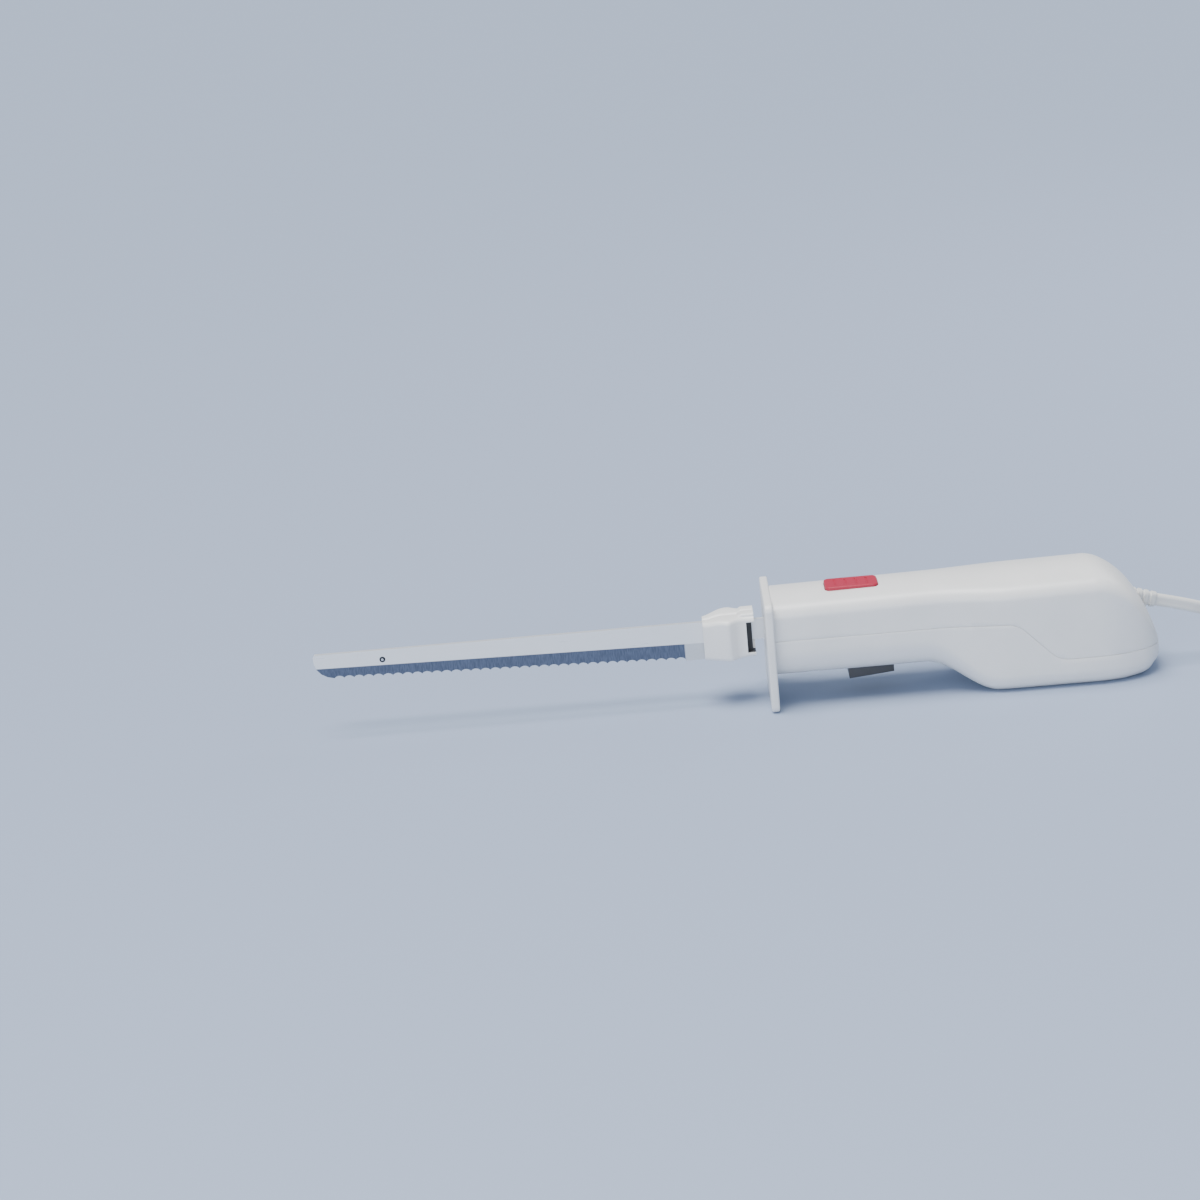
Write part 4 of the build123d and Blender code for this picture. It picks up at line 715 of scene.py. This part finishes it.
def spline_points(name, route):
    """Points along one open NURBS spline whose control points are the route's, in millimetres."""
    curve = bpy.data.curves.new(name, "CURVE")
    curve.dimensions = "3D"
    curve.resolution_u = 6
    spline = curve.splines.new("NURBS")
    spline.points.add(len(route) - 1)
    spline.points.foreach_set("co", np.column_stack([route * MM, np.ones(len(route))]).ravel())
    spline.order_u = 3
    spline.use_endpoint_u = True
    guide = bpy.data.objects.new(name, curve)
    bpy.context.scene.collection.objects.link(guide)
    bpy.context.view_layer.update()
    mesh = bpy.data.meshes.new_from_object(guide.evaluated_get(bpy.context.evaluated_depsgraph_get()))
    found = np.empty(len(mesh.vertices) * 3)
    mesh.vertices.foreach_get("co", found)
    bpy.data.objects.remove(guide)
    bpy.data.curves.remove(curve)
    bpy.data.meshes.remove(mesh)
    found = found.reshape(-1, 3) / MM
    keep = np.concatenate([[True], np.linalg.norm(np.diff(found, axis=0), axis=1) > 0.05])
    return found[keep]


def twin_section(width, thickness, around):
    """Section of a flat twin cord by points (up, across): two round cores side by side, whose half-thickness at a
    height is the root of the core's radius squared less the distance from its centre squared, with a waist of
    0.78 of the radius between them."""
    radius, angle = thickness / 2, np.arange(around) * math.tau / around
    up = width / 2 * np.sin(angle)
    centre = width / 2 - radius
    off = np.abs(np.abs(up) - centre)
    across = np.sqrt(np.maximum(radius**2 - off**2, 0))
    across = np.where(np.abs(up) < centre, np.maximum(across, 0.78 * radius), across)
    return up, across * np.sign(np.round(np.cos(angle), 9))


def cord_tube(name, line, width, thickness, around):
    """Flat cord along a line: at each point the section stands across the heading, with its width upright."""
    heading = np.gradient(line, axis=0)
    heading /= np.linalg.norm(heading, axis=1, keepdims=True)
    sideways = np.cross([0.0, 0.0, 1.0], heading)
    sideways /= np.linalg.norm(sideways, axis=1, keepdims=True)
    upright = np.cross(heading, sideways)
    up, across = twin_section(width, thickness, around)
    grid = line[:, None] + up[None, :, None] * upright[:, None] + across[None, :, None] * sideways[:, None]
    return grid_piece(name, grid)


# ---- Operators


class KNIFE_OT_stage(bpy.types.Operator):
    """Lays the floor, hangs the lights and sets up the camera"""

    bl_idname = "knife.stage"
    bl_label = "Stage"

    def execute(self, context):
        setting = context.scene.knife_stage
        edge = np.linspace(-FLOOR_REACH, FLOOR_REACH, FLOOR_ROWS) / MM
        x, y = np.meshgrid(edge, edge)
        index = np.arange(x.size).reshape(x.shape)
        quads = np.stack([index[:-1, :-1], index[:-1, 1:], index[1:, 1:], index[1:, :-1]], axis=-1)
        floor = make_mesh("floor", np.stack([x, y, np.full_like(x, -FLOOR_DROP / MM)], axis=-1).reshape(-1, 3),
                          list(quads.reshape(-1, 4)))
        paint_piece(floor, floor_finish("floor_finish", setting.floor))

        lamps = (
            ("key_light", "SUN", (-0.30, -0.12, 1.45), (0.0, 0.0, 0.0), setting.key, (1.0, 0.985, 0.96),
             {"angle": math.radians(38.0)}),
            ("fill_light", "AREA", (-1.1, -1.5, 0.65), (0.0, 0.0, 0.03), setting.fill, (0.86, 0.92, 1.0),
             {"shape": "DISK", "size": 0.9}),
            ("low_light", "AREA", (-0.25, -1.30, 0.30), (-0.10, 0.0, 0.04), setting.fill * 1.5,
             (0.95, 0.97, 1.0), {"shape": "RECTANGLE", "size": 1.2, "size_y": 0.3}),
            ("back_light", "AREA", (1.1, 0.9, 0.9), (0.05, 0.0, 0.03), setting.fill * 0.8, (0.92, 0.95, 1.0),
             {"shape": "DISK", "size": 0.7}),
        )
        for name, kind, at, aim, strength, tint, form in lamps:
            lamp = bpy.data.lights.new(name, kind)
            lamp.energy, lamp.color = strength, tint
            for key, value in form.items():
                setattr(lamp, key, value)
            holder = bpy.data.objects.new(name, lamp)
            holder.location = at
            holder.rotation_euler = (Vector(aim) - Vector(at)).to_track_quat("-Z", "Y").to_euler()
            context.scene.collection.objects.link(holder)
        world = bpy.data.worlds.new("studio")
        world.use_nodes = True
        backdrop = world.node_tree.nodes["Background"]
        backdrop.inputs["Color"].default_value = (0.74, 0.83, 1.0, 1.0)
        backdrop.inputs["Strength"].default_value = setting.air
        context.scene.world = world

        azimuth, elevation, roll = (math.radians(angle) for angle in CAMERA_ANGLES)
        ahead = np.array([math.sin(azimuth) * math.cos(elevation), math.cos(azimuth) * math.cos(elevation),
                          -math.sin(elevation)])
        right = np.array([math.cos(azimuth), -math.sin(azimuth), 0.0])
        above = np.cross(right, ahead)
        tilted = math.cos(roll) * right + math.sin(roll) * above
        upright = -math.sin(roll) * right + math.cos(roll) * above
        camera = bpy.data.objects.new("camera", bpy.data.cameras.new("camera"))
        camera.data.lens = setting.lens
        camera.data.sensor_width = 36.0
        camera.data.clip_start, camera.data.clip_end = 0.05, 80.0
        turn = np.eye(4)
        turn[:3, :3] = np.column_stack([tilted, upright, -ahead])
        turn[:3, 3] = CAMERA_AIM - CAMERA_DISTANCE * ahead
        camera.matrix_world = Matrix(turn.tolist())
        context.scene.collection.objects.link(camera)
        context.scene.camera = camera
        return {"FINISHED"}


class KNIFE_OT_cord(bpy.types.Operator):
    """Lays the flat cord, its coil and its moulded plug"""

    bl_idname = "knife.cord"
    bl_label = "Cord and plug"

    def execute(self, context):
        setting = context.scene.knife_cord
        line = spline_points("cord_guide", cord_route())
        tube = cord_tube("mains_cord", line, setting.width / MM, setting.thickness / MM, setting.around)
        shade(tube, 75.0)
        vinyl = finish_for("cord_vinyl", cord_vinyl, setting.vinyl)
        paint_piece(tube, vinyl)
        place(tube, "handle", "cord_vinyl", "cord", "cord_coil", "cord_tail")

        low, high = (np.array(corner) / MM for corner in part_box("plug_body"))
        middle, half = (low + high) / 2, (high - low) / 2
        back, wide, tall = np.array(PLUG_FORM).T
        half_wide, half_tall = wide * half[0], tall * half[2]
        ring = rounded_ring(half_wide, half_tall, np.minimum(half_tall * 0.7, 3.6), 7)
        grid = rings_along(low[1] + back * 2 * half[1], ring, middle[[0, 2]])
        plug = grid_piece("plug_moulding", grid[..., [1, 0, 2]])
        for wall in (low[0], high[0]):
            for share in 0.62 + 0.062 * np.arange(5):
                spot = np.array([wall, low[1] + 2 * half[1] * share, middle[2]])
                reach = np.array([0.5, 0.45, half[2] - 2.4])
                cut(plug, block("grip_cut", spot - reach, spot + reach))
        soften(plug, 0.25 * MM, 2, 40.0)
        paint_piece(plug, vinyl)
        place(plug, "handle", "cord_vinyl", "plug_body")
        return {"FINISHED"}


class KNIFE_OT_relief(bpy.types.Operator):
    """Moulds the ribbed strain relief where the cord leaves the handle"""

    bl_idname = "knife.relief"
    bl_label = "Strain relief"

    def execute(self, context):
        setting = context.scene.knife_cord
        along = np.array([-3.0, -3.0, -0.001, 0.0, 6.0])
        half_up = np.array([3.6, 7.55, 7.55, 5.75, 5.42])
        half_across = np.array([2.0, 5.75, 5.75, 4.00, 3.74])
        start = np.arange(5) * 3.7 + 6.6
        rib = np.array([0.0, 0.15, 0.35, 1.45, 1.65, 1.8])
        depth = np.array([0.0, 0.55, 0.72, 0.72, 0.55, 0.0])
        ribs = (start[:, None] + rib).ravel()
        share, depth = ribs / RELIEF_LENGTH, np.tile(depth, len(start))
        along = np.concatenate([along, ribs, RELIEF_LENGTH - np.array([0.5, 0.15, 0.0, 0.0])])
        half_up = np.concatenate([half_up, 5.75 + (4.2 - 5.75) * share - depth, [4.2, 4.1, 3.95, 3.7]])
        half_across = np.concatenate([half_across, 4.0 + (2.5 - 4.0) * share - depth * 0.75,
                                      [2.5, 2.42, 2.3, 1.95]])
        relief = grid_piece("strain_relief_moulding", relief_rings(along, half_up, half_across,
                                                                   np.minimum(half_across * 0.8, 2.6)))
        shade(relief, 40.0)
        paint_piece(relief, finish_for("cord_vinyl", cord_vinyl, setting.vinyl))
        place(relief, "handle", "cord_vinyl", "strain_relief")
        return {"FINISHED"}


class KNIFE_OT_handle(bpy.types.Operator):
    """Moulds the two shells of the handle, parted along their seam"""

    bl_idname = "knife.handle"
    bl_label = "Handle shells"

    def execute(self, context):
        setting = context.scene.knife_handle
        gap, depth = setting.seam_gap / MM, setting.seam_depth / MM
        plastic = finish_for("shell_plastic", moulded_plastic, setting.shell)
        below = np.vstack([seam_line(), [[SEAM_END, -10.0], [SEAM_START, -10.0]]])
        for name, node in (("handle_upper", "upper_shell"), ("handle_lower", "lower_shell")):
            shell = grid_piece(name, handle_rings(0.0, HANDLE_FRONT))
            cut(shell, grid_piece("cavity", handle_rings(WALL, HANDLE_FRONT - CLEAR_OF_FRONT, 60, 26)))
            if node == "upper_shell":
                cut(shell, curtain("lower_half", below))
                middle = BUTTON_FRONT + BUTTON_LENGTH / 2
                cut(shell,
                    upright_tool("button_opening", middle, 0.0, 54.0, 70.0, BUTTON_LENGTH / 2 + 0.3,
                                 BUTTON_WIDTH / 2 + 0.3, 3.0),
                    grid_piece("cord_hole", relief_rings((-2.0, 30.0), (5.3, 5.3), (3.6, 3.6), 2.8)))
            else:
                cut(shell, curtain("lower_half", below), operation="INTERSECT")
                groove = curtain("groove", np.vstack([seam_line(-0.05), seam_line(gap)[::-1]]))
                cut(groove, grid_piece("groove_core", handle_rings(depth, HANDLE_FRONT - CLEAR_OF_FRONT, 60, 26)))
                cut(shell, groove,
                    upright_tool("trigger_opening", TRIGGER_FRONT + TRIGGER_LENGTH / 2 - 0.8, 0.0, 4.0, 24.0,
                                 TRIGGER_LENGTH / 2 + 1.1, 7.4, 0.4))
                turn = np.arange(SCREW_SIDES) * math.tau / SCREW_SIDES
                ring = SCREW_RADIUS * np.column_stack([np.cos(turn), np.sin(turn)])
                for x, y, floor in SCREWS:
                    cut(shell, upright("screw_seat", ring + [x, y], floor - 6.0, floor + 4.5))
            soften(shell, setting.edge, 2, 32.0)
            paint_piece(shell, plastic)
            place(shell, "handle", "shell_plastic", node)
        return {"FINISHED"}


class KNIFE_OT_guard(bpy.types.Operator):
    """Moulds the guard plate, with rounded edges and its slot for the blades"""

    bl_idname = "knife.guard"
    bl_label = "Guard plate"

    def execute(self, context):
        setting = context.scene.knife_handle
        low, high = (np.array(corner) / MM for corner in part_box("guard_plate"))
        middle, half = (low + high) / 2, (high - low) / 2
        front, back = low[0], low[0] + GUARD_THICKNESS
        level, inset = eased_levels(front, back, 1.0)
        ring = rounded_ring(half[1] - inset, half[2] - inset, 4.0 - inset * 0.7, 9)
        plate = grid_piece("guard_moulding", rings_along(level, ring, middle[1:]))
        slot = rounded_ring([SLOT_HALF_WIDTH] * 2, SLOT_HALF_HEIGHT, 1.2, 5)
        cut(plate, grid_piece("blade_slot", rings_along([front - 2, back + 2], slot, (0.0, SLOT_MIDDLE))))
        soften(plate, 0.35 * MM, 2, 40.0)
        paint_piece(plate, finish_for("shell_plastic", moulded_plastic, setting.shell))
        place(plate, "handle", "shell_plastic", "guard_plate")
        return {"FINISHED"}


class KNIFE_OT_controls(bpy.types.Operator):
    """Moulds the ridged release button and the trigger"""

    bl_idname = "knife.controls"
    bl_label = "Button and trigger"

    def execute(self, context):
        setting = context.scene.knife_handle
        red = finish_for("button_red", worn_plastic, setting.button, 0.32, (0.75, 0.25, 0.30))
        grey = finish_for("trigger_grey", worn_plastic, setting.trigger, 0.42, (0.22, 0.22, 0.24))
        for node, name, edge, plastic, slot, body in (
                ("release_button", "button_moulding", 0.22, red, "button_red", "button"),
                ("trigger", "trigger_moulding", 0.5, grey, "trigger_grey", "trigger_lever")):
            piece = self.rounded_copy(node, name, edge)
            paint_piece(piece, plastic)
            place(piece, body, slot, node)
        return {"FINISHED"}

    def rounded_copy(self, node, name, edge):
        """Copy of a CAD node with its doubles merged and its edges rounded."""
        mesh = frame["nodes"][node].data.copy()
        face_out(mesh, 0.00001)
        piece = bpy.data.objects.new(name, mesh)
        bpy.context.scene.collection.objects.link(piece)
        soften(piece, edge * MM, 3, 40.0)
        return piece


class KNIFE_OT_collars(bpy.types.Operator):
    """Moulds the flared thumb collar on each blade"""

    bl_idname = "knife.collars"
    bl_label = "Thumb collars"

    def execute(self, context):
        setting = context.scene.knife_blades
        edge = setting.collar_edge / MM
        plastic = finish_for("shell_plastic", moulded_plastic, context.scene.knife_handle.shell)
        # Painted shade: a near-black plastic for the faces inside each collar's rear recess, where shadow falls.
        shade_dark = finish_for("recess_dark", worn_plastic, (0.030, 0.032, 0.038), 0.5, (0.12, 0.12, 0.13))
        at, reach = np.array(COLLAR_FORM).T
        x = np.linspace(COLLAR_FRONT, COLLAR_REAR, 57)
        half = np.minimum(np.maximum(through_knots(x, at, reach), 1.0), COLLAR_WIDEST)
        crown = COLLAR_TOP - 2.2 * smooth_rise(-x, 5.0, -COLLAR_FRONT) - 0.25 * (half - 8.0) / 6.0
        foot = COLLAR_FOOT + 0.5 * smooth_rise(x, 3.0, 11.0)
        hood_x = np.linspace(2.6, COLLAR_REAR, 14)
        lift = 1.5 * smooth_rise(hood_x, 2.4, 5.6)
        cuts = (
            ("recess", (3.6, 3.2, RECESS_LOW), (RECESS_END, 7.6, RECESS_HIGH)),
            ("side_notch", (7.4, 3.2, RECESS_LOW), (RECESS_END, 15.0, RECESS_HIGH)),
            ("sleeve_end", (10.4, 1.15, RECESS_LOW), (RECESS_END, 3.4, RECESS_HIGH)),
            ("blade_way", (-20.0, 0.0, 25.4), (-3.8, 1.35, 47.1)),
            ("tang_way", (-5.0, 0.0, 34.4), (RECESS_END, 1.35, 46.3)),
        )
        for side, node in ((-1, "left"), (1, "right")):
            collar = self.half_form("collar_" + node, side, x, (half + COLLAR_INNER) / 2, (crown + foot) / 2,
                                    (half - COLLAR_INNER) / 2, (crown - foot) / 2, edge + 0.9, 8)
            hood = self.half_form("hood", side, hood_x, 3.7 + COLLAR_INNER, COLLAR_TOP - 1.7 + lift / 2,
                                  3.7, 1.6 + lift / 2, 1.3, 6)
            cut(collar, hood, operation="UNION")
            for name, low, high in cuts:
                inner, outer = sorted((side * low[1], side * high[1]))
                cut(collar, block(name, (low[0], inner, low[2]), (high[0], outer, high[2])))
            soften(collar, 0.45 * MM, 2, 40.0)
            # The second material is painted shade for the faces inside the rear recess.
            paint_piece(collar, plastic, shade_dark)
            self.paint_recess_shade(collar, side)
            place(collar, node + "_blade", "shell_plastic", "thumb_collar_" + node)
        return {"FINISHED"}

    def half_form(self, name, side, x, off, middle, half_width, half_height, radius, count):
        """Closed form on one side of the knife, of rounded rings along X kept off the middle plane."""
        ring = rounded_ring(half_width, half_height, radius, count)
        ring = ring + np.stack(np.broadcast_arrays(off, middle), axis=-1)[:, None, :]
        ring[..., 0] = np.maximum(ring[..., 0], COLLAR_INNER)
        return grid_piece(name, rings_along(x, ring * [side, 1]))

    def paint_recess_shade(self, collar, side):
        """Gives the faces inside the rear recess painted shade, the near-black second material, by their centres.
        """
        mesh = collar.data
        centre = np.empty(len(mesh.polygons) * 3)
        mesh.polygons.foreach_get("center", centre)
        x, y, z = centre.reshape(-1, 3).T / MM
        within = (x > 3.4) & (x < 11.4) & (side * y > 1.4) & (side * y < 7.7) & (z > 29.3) & (z < 47.3)
        mesh.polygons.foreach_set("material_index", within.astype(np.int32))
        mesh.update()


class KNIFE_OT_steel(bpy.types.Operator):
    """Finishes the blades and the rivet near their tips"""

    bl_idname = "knife.steel"
    bl_label = "Blades"

    def execute(self, context):
        setting = context.scene.knife_blades
        steel = finish_for("blade_steel", blade_steel, setting.flat, setting.bevel)
        for node in ("blade_left", "blade_right"):
            paint_piece(frame["nodes"][node], steel)
        low, high = (np.array(corner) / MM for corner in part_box("tip_rivet"))
        radius = (high[0] - low[0]) / 2
        rise = np.array([0.02, 0.40, 0.70, 0.90, 1.0, 1.0, 0.66, 0.66, 1.0, 1.0, 0.90, 0.70, 0.40, 0.02]) * radius
        dome = np.array([0.0, 0.03, 0.11, 0.24, 0.38, 0.5])
        out = np.concatenate([low[1] + dome, [low[1] + 0.5, high[1] - 0.5], high[1] - dome[::-1]])
        turn = np.arange(40) * math.tau / 40
        grid = np.stack([(low[0] + high[0]) / 2 + rise[:, None] * np.cos(turn),
                         np.repeat(out[:, None], 40, axis=1),
                         (low[2] + high[2]) / 2 + rise[:, None] * np.sin(turn)], axis=-1)
        rivet = grid_piece("rivet_turned", grid)
        shade(rivet, 50.0)
        paint_piece(rivet, finish_for("rivet_steel", riveted_steel, (low + high) / 2, radius))
        place(rivet, "left_blade", "blade_steel", "tip_rivet")
        return {"FINISHED"}


class KNIFE_OT_works(bpy.types.Operator):
    """Finishes the mechanism and the motor inside the handle"""

    bl_idname = "knife.works"
    bl_label = "Mechanism"

    def execute(self, context):
        makers = {
            "inner_plastic": (moulded_plastic, (0.30, 0.31, 0.33), 0.45, 0.02),
            "gear_nylon": (moulded_plastic, (0.72, 0.68, 0.56), 0.38, 0.015),
            "shaft_steel": (metal, (0.62, 0.63, 0.65), 0.24, (1.0, 20.0, 20.0)),
            "spring_steel": (metal, (0.50, 0.52, 0.55), 0.28, (10.0, 1.0, 1.0)),
            "switch_black": (worn_plastic, (0.030, 0.030, 0.034), 0.42, (0.16, 0.16, 0.17)),
            "brass_parts": (metal, (0.72, 0.52, 0.22), 0.30, (1.0, 1.0, 8.0), 0.20),
            "core_iron": (stacked_iron, (0.30, 0.30, 0.31)),
            "coil_copper": (wound_copper, (0.62, 0.22, 0.09)),
        }
        slots = {part["node"]: part.get("material_slot") or part.get("slot")
                 for part in frame["record"]["subparts"] if "node" in part}
        for node, piece in frame["nodes"].items():
            maker = makers.get(slots.get(node))
            if maker and not piece.hide_render:
                paint_piece(piece, finish_for(slots[node], *maker))
        return {"FINISHED"}


class KNIFE_PT_build(bpy.types.Panel):
    """Lists the knife's settings and the steps that make it"""

    bl_idname = "KNIFE_PT_build"
    bl_label = "Carving knife"
    bl_space_type = "VIEW_3D"
    bl_region_type = "UI"
    bl_category = "Carving knife"

    def draw(self, context):
        for group, steps in STEPS:
            setting = getattr(context.scene, group)
            box = self.layout.box()
            for key in type(setting).__annotations__:
                box.prop(setting, key)
            for step in steps:
                box.operator(step.bl_idname)


STEPS = (
    ("knife_stage", (KNIFE_OT_stage,)),
    ("knife_cord", (KNIFE_OT_cord, KNIFE_OT_relief)),
    ("knife_handle", (KNIFE_OT_handle, KNIFE_OT_guard, KNIFE_OT_controls)),
    ("knife_blades", (KNIFE_OT_collars, KNIFE_OT_steel, KNIFE_OT_works)),
)
GROUPS = {
    "knife_stage": KnifeStageSettings,
    "knife_cord": KnifeCordSettings,
    "knife_handle": KnifeHandleSettings,
    "knife_blades": KnifeBladeSettings,
}
CLASSES = (*GROUPS.values(), *(step for _, steps in STEPS for step in steps), KNIFE_PT_build)


def register():
    for kind in CLASSES:
        bpy.utils.register_class(kind)
    for name, group in GROUPS.items():
        setattr(bpy.types.Scene, name, PointerProperty(type=group))


def unregister():
    for name in GROUPS:
        delattr(bpy.types.Scene, name)
    for kind in reversed(CLASSES):
        bpy.utils.unregister_class(kind)


def main():
    register()
    for _, steps in STEPS:
        for step in steps:
            area, name = step.bl_idname.split(".")
            getattr(getattr(bpy.ops, area), name)()


if __name__ == "__main__":
    main()
